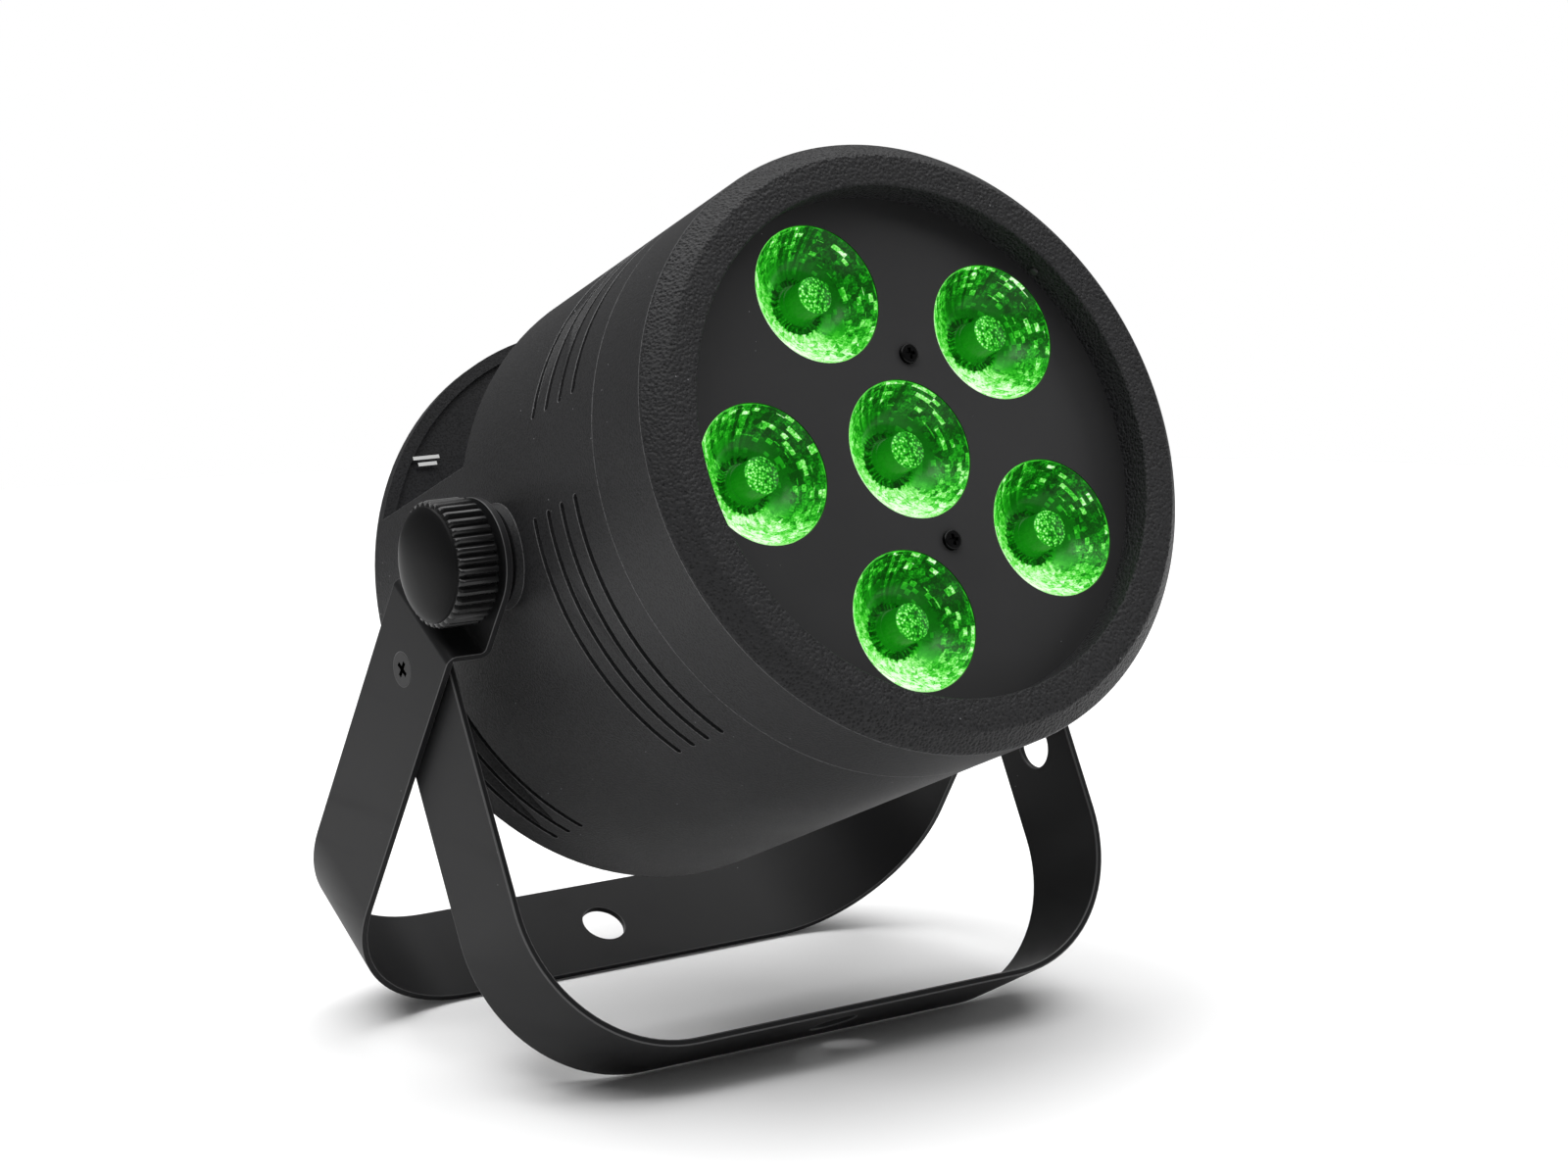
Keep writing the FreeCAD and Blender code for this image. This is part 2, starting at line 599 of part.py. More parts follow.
def signal_in_body():
    """Three-pin plug-side shell with its floor."""
    x, low = SIGNAL_X["in"], PANEL_Z - SIGNAL_DEPTH
    outer = SIGNAL_R - SOCKET_GAP
    shell = ring_z(outer, SOCKET_BORE, low, PANEL_Z + 1.0, x, BAY_MID_Y)
    floor = rod_z(outer, low - SOCKET_FLOOR, low, x, BAY_MID_Y)
    holes = [rod_z(PIN_R, low - 5, low + 1, x + px, BAY_MID_Y + py) for px, py in PIN_SPOTS]
    return cut(fuse([flange_plate(x, outer), shell, floor]), holes)


def signal_in_pins():
    """Three contact pins."""
    x, low = SIGNAL_X["in"], PANEL_Z - SIGNAL_DEPTH
    return [rod_z(PIN_R, low - 8.0, PANEL_Z - 4.0, x + px, BAY_MID_Y + py)
            for px, py in PIN_SPOTS]


def signal_out_body():
    """Three-hole socket with a groove round its core and a latch slot."""
    x, low = SIGNAL_X["out"], PANEL_Z - SIGNAL_DEPTH
    outer = SIGNAL_R - SOCKET_GAP
    shell = rod_z(outer, low - SOCKET_FLOOR, PANEL_Z + 1.0, x, BAY_MID_Y)
    groove = ring_z(9.5, 7.9, low, PANEL_Z + 2, x, BAY_MID_Y)
    holes = [rod_z(PIN_R + 0.1, low + 3.0, PANEL_Z + 2, x - px, BAY_MID_Y + py)
             for px, py in PIN_SPOTS]
    return cut(fuse([flange_plate(x, outer), shell]), [groove, latch_slot_box()] + holes)


def latch_slot_box():
    """Clearance for the latch through socket and panel."""
    x0, x1, y0, y1 = LATCH
    x = SIGNAL_X["out"]
    return box(x + x0 - LATCH_GAP, x + x1 + LATCH_GAP, BAY_MID_Y + y0 - LATCH_GAP,
               BAY_MID_Y + y1 + LATCH_GAP, PANEL_Z - 9.0, PANEL_Z + 4)


def latch():
    """Push tab that releases a plug from the signal socket."""
    x0, x1, y0, y1 = LATCH
    x = SIGNAL_X["out"]
    top = PANEL_Z + FLANGE_T + LATCH_TRAVEL + 0.6
    return box(x + x0, x + x1, BAY_MID_Y + y0, BAY_MID_Y + y1, PANEL_Z - 6.0, top)


def connector_screws():
    """Low-headed flange screws, two per connector."""
    out = []
    face = PANEL_Z + FLANGE_T
    wing, arm = 0.45, 1.5
    for x, y in connector_screw_spots():
        head = rod_z(2.7, face, face + 1.5, x, y)
        shank = rod_z(SMALL_SCREW_R, PANEL_Z - 5.0, face, x, y)
        cross = [box(x - arm, x + arm, y - wing, y + wing, face + 0.7, face + 2),
                 box(x - wing, x + wing, y - arm, y + arm, face + 0.7, face + 2)]
        out.append(cut(fuse([head, shank]), cross))
    return out


def fuse_holder():
    """Fuse carrier body under the panel."""
    wall_r = FUSE_BORE + 0.7
    top = ring_z(8.0, FUSE_BORE, PANEL_Z, PANEL_Z + 1.6, FUSE_X, BAY_MID_Y)
    tube = ring_z(wall_r, FUSE_BORE, PANEL_Z - 20.0, PANEL_Z + 0.5, FUSE_X, BAY_MID_Y)
    end = rod_z(wall_r, PANEL_Z - 22.0, PANEL_Z - 20.0, FUSE_X, BAY_MID_Y)
    return fuse([top, tube, end])


def fuse_cap():
    """Slotted cap with its stem, lifted out to change the fuse."""
    head = rod_z(7.0, PANEL_Z + 2.0, PANEL_Z + 6.5, FUSE_X, BAY_MID_Y)
    stem = rod_z(FUSE_BORE - RUN, PANEL_Z - 8.0, PANEL_Z + 2.0, FUSE_X, BAY_MID_Y)
    slit = box(FUSE_X - 8, FUSE_X + 8, BAY_MID_Y - 0.6, BAY_MID_Y + 0.6,
               PANEL_Z + 5.0, PANEL_Z + 8)
    socket = rod_z(FUSE_R, PANEL_Z - 9, PANEL_Z - 4, FUSE_X, BAY_MID_Y)
    return cut(fuse([head, stem]), [slit, socket])


def fuse_link():
    """Glass fuse carried by the cap."""
    return rod_z(FUSE_R, PANEL_Z - 18.0, PANEL_Z - 4.0, FUSE_X, BAY_MID_Y)


# ------------------------------------------------------------- power supply
def supply_tray():
    """Steel tray that carries the driver board low in the can."""
    half, y0, y1 = TRAY_HALF_W, SUPPLY_Y, SUPPLY_Y + SUPPLY_LENGTH
    top = SUPPLY_Z - 2.0
    low = top - TRAY_T
    floor = box(-half, half, y0, y1, low, top)
    sides = [box(s * half - TRAY_T / 2, s * half + TRAY_T / 2, y0, y1, low, SUPPLY_Z + 6)
             for s in (-1, 1)]
    foot_x, foot_half, foot_l = 30.0, 6.0, 12.0
    foot_z = -math.sqrt(INNER_R ** 2 - (foot_x + foot_half) ** 2)
    feet = [box(s * foot_x - foot_half, s * foot_x + foot_half, y, y + foot_l, foot_z, low)
            for s in (-1, 1) for y in (y0 + 6, y1 - 18)]
    return fuse([floor] + sides + feet)


def driver_board():
    """Power supply and LED driver board with its tall parts."""
    top = SUPPLY_Z - 0.4
    board = box(-TRAY_HALF_W + 2, TRAY_HALF_W - 2, SUPPLY_Y + 3, SUPPLY_Y + SUPPLY_LENGTH - 3,
                SUPPLY_Z - 2.0, top)
    # x0, x1, y0, y1 and height of the transformer, filter, heat spreader and choke
    blocks = [(-36, -12, 10, 34, 19.4), (-4, 16, 8, 26, 12.4), (-36, -20, 44, 64, 9.4),
              (-10, 2, 38, 60, 11.4)]
    # x, y, radius and height of the capacitors
    cans = [(30, 20, 8.0, 21.4), (28, 42, 5.0, 14.4), (14, 42, 5.0, 14.4)]
    tall = [box(x0, x1, SUPPLY_Y + y0, SUPPLY_Y + y1, top, top + h)
            for x0, x1, y0, y1, h in blocks]
    tall += [rod_z(r, top, top + h, x, SUPPLY_Y + y) for x, y, r, h in cans]
    return fuse([board] + tall)


def lead(points, r):
    """Stiff wire along a few points."""
    out = []
    for a, b in zip(points, points[1:]):
        d = V(*b).sub(V(*a))
        out.append(Part.makeCylinder(r, d.Length, V(*a), d))
    for p in points[1:-1]:
        out.append(Part.makeSphere(r, V(*p)))
    return fuse(out)


def harness():
    """Flying leads from supply to sockets, LED board and control board."""
    sy, sz, by = SUPPLY_Y, SUPPLY_Z, BAY_MID_Y
    fin_y = SINK_BACK_Y + FIN_H + 0.9
    return [lead([(-52, by, -12), (-52, by, -30), (-40, sy + 52, -34), (-28, sy + 54, sz + 12)],
                 1.6),
            lead([(26, by, -10), (30, by + 6, -24), (18, sy + 62, -36), (0, sy + 56, sz + 14)],
                 1.2),
            lead([(6, sy + 16, sz + 15), (6, fin_y + 10, -28), (4, fin_y + 6, -20),
                  (4, fin_y, -20)], 1.6),
            lead([(20, CONTROL_Y - 0.4, -20), (20, CONTROL_Y - 8, -22), (10, CONTROL_Y - 16, -30),
                  (-4, sy + 56, sz + 14)], 1.0)]


# ----------------------------------------------------------------- tilt knobs
def knob_cap():
    """Ribbed knob with a domed face, right-hand side."""
    x0, x1 = KNOB_X, KNOB_X + KNOB_LEN
    dome_r = KNOB_R - 1.4
    core = rod_x(KNOB_R - RIB_R + 0.05, x0, x1, TILT_Y, TILT_Z)
    foot = rod_x(KNOB_R - 3.6, x0 - 0.6, x0 + 1, TILT_Y, TILT_Z)
    ball_r = (dome_r ** 2 + KNOB_DOME ** 2) / (2 * KNOB_DOME)
    dome = Part.makeSphere(ball_r, V(x1 + KNOB_DOME - ball_r, TILT_Y, TILT_Z)).common(
        rod_x(dome_r, x1 - 1.0, x1 + KNOB_DOME + 1, TILT_Y, TILT_Z))
    ribs = []
    for i in range(KNOB_RIBS):
        y, z = polar(KNOB_R - RIB_R - 0.05, 360.0 * i / KNOB_RIBS)
        ribs.append(rod_x(RIB_R, x0, x1 - 0.2, TILT_Y + y, TILT_Z + z))
    body = fuse([core, foot, dome] + ribs)
    return cut(body, [rod_x(STUD_R, x0 - 2, x0 + STUD_SINK, TILT_Y, TILT_Z)])


def knob_stud():
    """Threaded stud moulded into the knob, modelled as its plain diameter."""
    return rod_x(STUD_R, INNER_R - 14.0, KNOB_X + STUD_SINK, TILT_Y, TILT_Z)


def knob_washer():
    """Steel washer between knob and yoke tab."""
    x0 = TAB_X + FACE_GAP
    return ring_x(STUD_R + 5.5, STUD_R + RUN, x0, x0 + WASHER_T, TILT_Y, TILT_Z)


def friction_ring():
    """Rubber ring between yoke tab and can boss."""
    return ring_x(RING_R, INSERT_R + 0.5, BOSS_X, BOSS_X + RING_T, TILT_Y, TILT_Z)


# ------------------------------------------------------------------- brackets
# Bracket frame: x across, y along the strip's width (towards the front when
# folded), z up the arms, origin on the stand pivot.
def u_strip(half_w, reach, bend_r, shift, top):
    """Flat strip bent into a U, as a solid of constant thickness."""
    def loop(off):
        hw, low, r = half_w - off, -(reach + STRIP_T) + off, bend_r - off
        c = math.sqrt(0.5) * r
        yl = shift - STRIP_W / 2
        left = V(-hw, yl, low + r)
        right = V(hw, yl, low + r)
        edges = [Part.makeLine(V(-hw, yl, top), left),
                 Part.Arc(left, V(-hw + r - c, yl, low + r - c), V(-hw + r, yl, low)).toShape(),
                 Part.makeLine(V(-hw + r, yl, low), V(hw - r, yl, low)),
                 Part.Arc(V(hw - r, yl, low), V(hw - r + c, yl, low + r - c), right).toShape(),
                 Part.makeLine(right, V(hw, yl, top)),
                 Part.makeLine(V(hw, yl, top), V(-hw, yl, top))]
        return Part.Face(Part.Wire(edges)).extrude(V(0, STRIP_W, 0))
    return loop(0.0).cut(loop(STRIP_T).fuse(box(-half_w + STRIP_T, half_w - STRIP_T,
                                                -50, 50, top - 0.5, top + 1)))


def countersink():
    """Cone of the pivot screw's head, right-hand side."""
    return Part.makeCone(0, PIVOT_HEAD_R, PIVOT_HEAD_R,
                         V(YOKE_HALF_W - PIVOT_HEAD_R + 0.02, 0, 0), V(1, 0, 0))


def main_yoke():
    """Main yoke: both arms joggle in to round tabs at the knobs."""
    shift, t = PIVOT_SHIFT, STRIP_T
    y0, y1 = shift - STRIP_W / 2, shift + STRIP_W / 2
    up, inner, root = JOGGLE_LOW + t, TAB_X - t, 1.5
    strip = u_strip(YOKE_HALF_W, YOKE_REACH, YOKE_BEND_R, shift, up)
    shelf = box(inner, YOKE_HALF_W, y0, y1, JOGGLE_LOW, up)
    tab = box(inner, TAB_X, y0, y1, JOGGLE_LOW, PIVOT_DROP)
    tab_end = rod_x(STRIP_W / 2, inner, TAB_X, shift, PIVOT_DROP)

    def bend_tool(corner, centre, r):
        """Waste outside a bend: the box to its corner, less the bend's cylinder."""
        xs, zs = sorted((corner[0], centre[0])), sorted((corner[1], centre[1]))
        return box(*xs, y0 - 1, y1 + 1, *zs).cut(
            rod(r, (centre[0], y0 - 2, centre[1]), (0, 1, 0), STRIP_W + 4))

    outer = bend_tool((YOKE_HALF_W + 1, up + 1), (YOKE_HALF_W - BEND_R, up - BEND_R), BEND_R)
    low = bend_tool((inner - 0.5, JOGGLE_LOW - 1), (inner + BEND_R, JOGGLE_LOW + BEND_R), BEND_R)
    fillet = box(TAB_X, TAB_X + root, y0, y1, up, up + root).cut(
        rod(root, (TAB_X + root, y0 - 2, up + root), (0, 1, 0), STRIP_W + 4))
    arm_end = cut(fuse([shelf, tab, tab_end, fillet]), [outer, low])
    body = fuse([cut(strip, pair(outer))] + pair(arm_end))
    tools = pair(rod_x(STUD_R + RUN, inner - 1, TAB_X + 1, shift, PIVOT_DROP))
    tools += pair(rod_x(PIVOT_R, YOKE_HALF_W - t - 1, YOKE_HALF_W + 1, 0, 0))
    tools += pair(countersink())
    tools += [rod_z(HOOK_HOLE_R, -YOKE_REACH - t - 1, -YOKE_REACH + 1, 0, shift)]
    return cut(body, tools)


def stand_bracket():
    """Second bracket that nests in the yoke and swings out as a stand."""
    hw, t, shift = STAND_HALF_W, STRIP_T, STAND_SHIFT
    top = -STAND_END_DROP
    strip = u_strip(hw, STAND_REACH, YOKE_BEND_R - STRIP_T, shift, top)
    ends = pair(rod_x(STRIP_W / 2, hw - t, hw, shift, top))
    tools = pair(rod_x(PIVOT_R + RUN, hw - t - 1, hw + 1, 0, 0))
    tools += [rod_x(HOOK_HOLE_R, -hw - 1, -hw + t + 1, shift, -SAFETY_DROP)]
    tools += [rod_z(HOOK_HOLE_R, -STAND_REACH - t - 1, -STAND_REACH + 1, 0, shift)]
    return cut(fuse([strip] + ends), tools)


def pivot_screw():
    """Countersunk screw of the stand pivot, right-hand side."""
    x = YOKE_HALF_W
    head = countersink().common(box(x - STRIP_T, x, -9, 9, -9, 9))
    shank = rod_x(PIVOT_R, STAND_HALF_W - STRIP_T - NUT_H - 2.3, x - 0.5)
    wing, arm, deep = 0.7, 2.6, 1.6
    cross = [box(x - deep, x + 1, -arm, arm, -wing, wing),
             box(x - deep, x + 1, -wing, wing, -arm, arm)]
    return cut(fuse([head, shank]), cross)


def pivot_nut():
    """Lock nut on the inside of the stand arm."""
    x1 = WASHER_X - WASHER_T
    pts = [V(x1 - NUT_H, *polar(NUT_R, 60.0 * i)) for i in range(6)]
    return prism(pts, V(NUT_H, 0, 0)).cut(rod_x(PIVOT_R, x1 - NUT_H - 1, x1 + 1))


def pivot_washers():
    """Thin washer on each side of the stand arm."""
    outer, x = PIVOT_HEAD_R + 0.5, YOKE_HALF_W - STRIP_T
    return [ring_x(outer, PIVOT_R, x - PIVOT_WASHER_T, x),
            ring_x(outer, PIVOT_R, WASHER_X - WASHER_T, WASHER_X)]


# ------------------------------------------------------------------- assembly
def stance():
    """Lean of the yoke and of the stand that puts both bases on the floor."""
    tie = math.radians(OPENING)
    reach_a, reach_b = YOKE_REACH + STRIP_T, STAND_REACH + STRIP_T
    edge_a = STRIP_W / 2 + PIVOT_SHIFT
    edge_b = STRIP_W / 2 - STAND_SHIFT
    p = reach_a - reach_b * math.cos(tie) - edge_b * math.sin(tie)
    q = edge_a - reach_b * math.sin(tie) + edge_b * math.cos(tie)
    lean_yoke = math.degrees(math.atan(-p / q))
    return lean_yoke, OPENING - lean_yoke


LEAN_YOKE, LEAN_STAND = stance()
HEAD_TURN = LEAN_YOKE - ARM_TO_HEAD      # about +x; negative tips the front up


def turned(shape, deg, centre=(0, 0, 0)):
    """Copy rotated about an x-parallel axis."""
    out = shape.copy()
    out.rotate(V(*centre), V(1, 0, 0), deg)
    return out


def moved(shape, x, y, z):
    """Copy shifted."""
    out = shape.copy()
    out.translate(V(x, y, z))
    return out


def place_head(shape):
    """Head frame to working frame, whose origin is the knob axis."""
    return turned(moved(shape, 0, -TILT_Y, -TILT_Z), HEAD_TURN)


def flipped(shape):
    """Turn a bracket so that its y runs towards the front of the light."""
    out = shape.copy()
    out.rotate(V(0, 0, 0), V(0, 0, 1), 180)
    return out


def pivot_place():
    """Stand pivot in the working frame, as y and z."""
    a = math.radians(LEAN_YOKE)
    return (PIVOT_DROP * math.sin(a) + PIVOT_SHIFT * math.cos(a),
            -PIVOT_DROP * math.cos(a) + PIVOT_SHIFT * math.sin(a))


def place_yoke(shape):
    """Yoke frame to working frame."""
    y, z = pivot_place()
    return moved(turned(flipped(shape), LEAN_YOKE), 0, y, z)


def place_stand(shape):
    """Stand frame to working frame."""
    y, z = pivot_place()
    return moved(turned(flipped(shape), -LEAN_STAND), 0, y, z)


def head_nodes():
    """Every node of the lamp head, in the head frame."""
    lenses = lens_spots()
    one_lens, one_holder = lens(), lens_holder()
    nodes = {
        "bezel_ring": bezel_ring(),
        "front_collar": front_collar(),
        "front_plate": front_plate(),
        "plate_gasket": plate_gasket(),
        "lenses": [moved(one_lens, x, 0, z) for x, z in lenses],
        "lens_holders": [moved(one_holder, x, 0, z) for x, z in lenses],
        "led_chips": [led_chip(x, z) for x, z in lenses],
        "led_board": led_board(),
        "heat_sink": heat_sink(),
        "plate_standoffs": plate_standoffs(),
        "plate_screws": plate_screws(),
        "sink_screws": sink_screws(),
        "can_shell": can_shell(),
        "tilt_inserts": tilt_inserts(),
        "rear_cover": rear_cover(),
        "cover_screws": cover_screws(),
        "display_window": display_window(),
        "display_module": display_module(),
        "control_board": control_board(),
        "control_posts": control_posts(),
        "switch_bodies": switch_bodies(),
        "connector_panel": connector_panel(),
        "power_inlet": power_socket(POWER_X["inlet"], 0.0),
        "power_outlet": power_socket(POWER_X["outlet"], 180.0),
        "signal_in_body": signal_in_body(),
        "signal_in_pins": signal_in_pins(),
        "signal_out_body": signal_out_body(),
        "signal_out_latch": latch(),
        "connector_screws": connector_screws(),
        "fuse_holder": fuse_holder(),
        "fuse_cap": fuse_cap(),
        "fuse_link": fuse_link(),
        "supply_tray": supply_tray(),
        "driver_board": driver_board(),
        "wire_harness": harness(),
        "friction_rings": pair(friction_ring()),
    }
    for i, x in enumerate(BUTTON_X):
        nodes["menu_button_%d" % (i + 1)] = button(x)
    right = {"knob": knob_cap(), "knob_stud": knob_stud(), "knob_washer": knob_washer()}
    for name, shape in right.items():
        nodes[name + "_right"] = shape
        nodes[name + "_left"] = mirrored(shape)
    return nodes


def yoke_nodes():
    """Nodes fixed to the main yoke, in the yoke frame."""
    washers = [w for s in pivot_washers() for w in pair(s)]
    return {"main_yoke": main_yoke(), "pivot_screws": pair(pivot_screw()),
            "pivot_nuts": pair(pivot_nut()), "pivot_washers": washers}


def apply(nodes, place):
    """Place every solid of every node."""
    out = {}
    for name, shape in nodes.items():
        solids = shape if isinstance(shape, list) else [shape]
        out[name] = [place(s) for s in solids]
    return out


def build():
    """All nodes in the row frame, with the shift from the working frame."""
    nodes = apply(head_nodes(), place_head)
    nodes.update(apply(yoke_nodes(), place_yoke))
    nodes.update(apply({"stand_bracket": stand_bracket()}, place_stand))
    bound = Part.Compound([s for group in nodes.values() for s in group])
    bound = bound.optimalBoundingBox(False)
    shift = (-(bound.XMin + bound.XMax) / 2, -(bound.YMin + bound.YMax) / 2, -bound.ZMin)
    return apply(nodes, lambda s: moved(s, *shift)), shift


def export(nodes):
    """One STEP file per node."""
    for name, solids in nodes.items():
        flat = [piece for s in solids for piece in s.Solids]
        shape = flat[0] if len(flat) == 1 else Part.Compound(flat)
        shape.exportStep("parts/%s.step" % name)


def report(shift):
    """Print the joint and mount places that the record needs."""
    def world(place, point, direction):
        tip = place(Part.Vertex(V(*point)))
        far = place(Part.Vertex(V(*[a + b for a, b in zip(point, direction)])))
        p, q = tip.Point, far.Point
        pos = [round(a + b, 4) for a, b in zip(p, shift)]
        return pos, [round(b - a, 6) for a, b in zip(p, q)]
    print("lean yoke %.3f stand %.3f head turn %.3f" % (LEAN_YOKE, LEAN_STAND, HEAD_TURN))
    print("tilt axis", world(place_head, (0, TILT_Y, TILT_Z), (1, 0, 0)))
    print("lens centre", world(place_head, (0, 0, 0), (0, -1, 0)))
    print("stand pivot", world(place_yoke, (0, 0, 0), (1, 0, 0)))
    print("yoke hook hole", world(place_yoke, (0, PIVOT_SHIFT, -YOKE_REACH - STRIP_T / 2),
                                  (0, 0, -1)))
    print("yoke base face", world(place_yoke, (BASE_MARK_X, PIVOT_SHIFT, -YOKE_REACH - STRIP_T),
                                  (0, 0, -1)))
    print("stand hook hole", world(place_stand, (0, STAND_SHIFT, -STAND_REACH - STRIP_T / 2),
                                   (0, 0, -1)))
    print("safety hole", world(place_stand, (-STAND_HALF_W + STRIP_T / 2, STAND_SHIFT,
                                             -SAFETY_DROP), (-1, 0, 0)))
    print("button", world(place_head, (0, BACK_Y, BUTTON_Z), (0, -1, 0)))
    print("panel up", world(place_head, (0, BAY_MID_Y, PANEL_Z), (0, 0, 1)))
    for name, x in list(POWER_X.items()) + list(SIGNAL_X.items()):
        print(name, world(place_head, (x, BAY_MID_Y, PANEL_Z + FLANGE_T), (0, 0, 1)))


if __name__ == "__main__":
    NODES, SHIFT = build()
    export(NODES)
    report(SHIFT)
    print(len(NODES), "nodes")
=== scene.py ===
"""Looks of the par can light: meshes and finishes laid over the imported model."""

import json
import logging
import math
from dataclasses import dataclass, field
from enum import Enum
from typing import Callable, Dict, Iterable, List, Sequence, Tuple

import bmesh
import bpy
from bmesh.types import BMEdge, BMesh, BMVert
from bpy.types import Material, Mesh, Node, NodeSocket, NodeTree, Object
from mathutils import Matrix, Vector


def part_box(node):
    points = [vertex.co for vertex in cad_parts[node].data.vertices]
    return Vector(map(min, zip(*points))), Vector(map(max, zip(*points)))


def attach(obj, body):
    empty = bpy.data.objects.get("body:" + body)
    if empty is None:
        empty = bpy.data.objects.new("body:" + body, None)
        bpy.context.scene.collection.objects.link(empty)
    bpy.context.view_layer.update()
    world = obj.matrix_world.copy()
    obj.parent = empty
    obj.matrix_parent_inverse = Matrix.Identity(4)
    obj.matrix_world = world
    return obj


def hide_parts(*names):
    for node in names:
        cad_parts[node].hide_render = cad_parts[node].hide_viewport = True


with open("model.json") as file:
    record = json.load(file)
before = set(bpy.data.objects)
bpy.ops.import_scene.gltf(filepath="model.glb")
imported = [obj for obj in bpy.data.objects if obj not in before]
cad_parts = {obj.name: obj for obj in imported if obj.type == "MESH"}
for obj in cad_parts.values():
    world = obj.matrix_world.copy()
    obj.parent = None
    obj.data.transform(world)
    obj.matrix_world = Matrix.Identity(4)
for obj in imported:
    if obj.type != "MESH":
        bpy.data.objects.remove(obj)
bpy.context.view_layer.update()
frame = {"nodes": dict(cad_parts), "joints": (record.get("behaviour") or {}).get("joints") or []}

LOG = logging.getLogger("par_can")
MM = 0.001
Colour = Tuple[float, float, float]
DUST_TONE = (0.22, 0.22, 0.23)       # settled dust on grain
FILM_TONE = (0.2, 0.2, 0.2)          # settled dust on smooth paint
DUST_PATCH_SCALE = 45.0
RUB_STRETCH = (1.0, 0.25, 3.0)       # handling marks run long and flat


# ---------------- node tools
class NodeSheet:
    """Short hand for one node tree."""

    def __init__(self, tree: NodeTree) -> None:
        """Keep the node tree to fill."""
        self.tree = tree

    def add(self, kind: str, **settings: object) -> Node:
        """Add a node.

        Args:
            kind: The node's type name.
            settings: Properties of the node, or default values of its inputs by name.

        Returns:
            The new node.
        """
        node = self.tree.nodes.new(kind)
        for name, value in settings.items():
            if hasattr(node, name):
                setattr(node, name, value)
            else:
                node.inputs[name.replace("_", " ")].default_value = value
        return node

    def link(self, source: NodeSocket, target: NodeSocket) -> None:
        """Join two sockets."""
        self.tree.links.new(source, target)

    def texture(self, kind: str, vector: NodeSocket, **settings: object) -> Node:
        """Add a node that reads coordinates.

        Args:
            kind: The node's type name.
            vector: The coordinates.
            settings: As for add.

        Returns:
            The new node.
        """
        node = self.add(kind, **settings)
        self.link(vector, node.inputs["Vector"])
        return node

    def bump(self, shader: Node, height: NodeSocket, strength: float, distance: float) -> None:
        """Give a shader a bumpy surface.

        Args:
            shader: The shader.
            height: The relief.
            strength: Share of the relief that shows.
            distance: Depth of the relief.
        """
        node = self.add("ShaderNodeBump", Strength=strength, Distance=distance)
        self.link(height, node.inputs["Height"])
        self.link(node.outputs["Normal"], shader.inputs["Normal"])

    def dull(self, shader: Node, mask: NodeSocket, gain: float, base: float) -> None:
        """Set a shader's roughness to base, rising with a mask by gain."""
        more = self.math("MULTIPLY", mask, gain)
        self.link(self.math("ADD", more, base), shader.inputs["Roughness"])

    def math(self, operation: str, first: object, second: object) -> NodeSocket:
        """Add a Math node.

        Args:
            operation: The sum to do.
            first: A socket or a number.
            second: A socket or a number.

        Returns:
            The result's socket.
        """
        node = self.add("ShaderNodeMath", operation=operation)
        for socket, value in zip(node.inputs, (first, second)):
            if isinstance(value, NodeSocket):
                self.link(value, socket)
            else:
                socket.default_value = value
        return node.outputs[0]

    def ramp(self, source: NodeSocket, stops: Sequence[Tuple[float, Colour]]) -> NodeSocket:
        """Add a colour ramp with a straight blend.

        Args:
            source: The value that drives it.
            stops: Position and colour of each stop.

        Returns:
            The colour's socket.
        """
        node = self.add("ShaderNodeValToRGB")
        node.color_ramp.interpolation = "LINEAR"
        elements = node.color_ramp.elements
        while len(elements) < len(stops):
            elements.new(0.5)
        for element, (place, colour) in zip(elements, stops):
            element.position = place
            element.color = (*colour, 1.0)
        self.link(source, node.inputs["Fac"])
        return node.outputs["Color"]

    def mix(self, factor: object, first: object, second: object) -> NodeSocket:
        """Mix two colours.

        Args:
            factor: Socket or number that picks the second colour.
            first: Socket or colour at zero.
            second: Socket or colour at one.

        Returns:
            The mixed colour's socket.
        """
        node = self.add("ShaderNodeMix", data_type="RGBA")
        sockets = (node.inputs[0], node.inputs[6], node.inputs[7])
        for socket, value in zip(sockets, (factor, first, second)):
            if isinstance(value, NodeSocket):
                self.link(value, socket)
            elif isinstance(value, tuple):
                socket.default_value = (*value, 1.0)
            else:
                socket.default_value = value
        return node.outputs[2]


def node_group(name: str, inputs: Dict[str, float], outputs: Dict[str, str],
               fill: Callable[[NodeSheet, Node, Node], None]) -> NodeTree:
    """Make a shader node group once.

    Args:
        name: The group's name.
        inputs: Name and default of each number that goes in.
        outputs: Name and socket type of each thing that comes out.
        fill: Function that adds the nodes between the two ends.

    Returns:
        The group, new or already made.
    """
    if name in bpy.data.node_groups:
        return bpy.data.node_groups[name]
    tree = bpy.data.node_groups.new(name, "ShaderNodeTree")
    tree.interface.new_socket("Vector", in_out="INPUT", socket_type="NodeSocketVector")
    for key, value in inputs.items():
        socket = tree.interface.new_socket(key, in_out="INPUT", socket_type="NodeSocketFloat")
        socket.default_value = value
    for key, kind in outputs.items():
        tree.interface.new_socket(key, in_out="OUTPUT", socket_type=kind)
    sheet = NodeSheet(tree)
    fill(sheet, sheet.add("NodeGroupInput"), sheet.add("NodeGroupOutput"))
    return tree


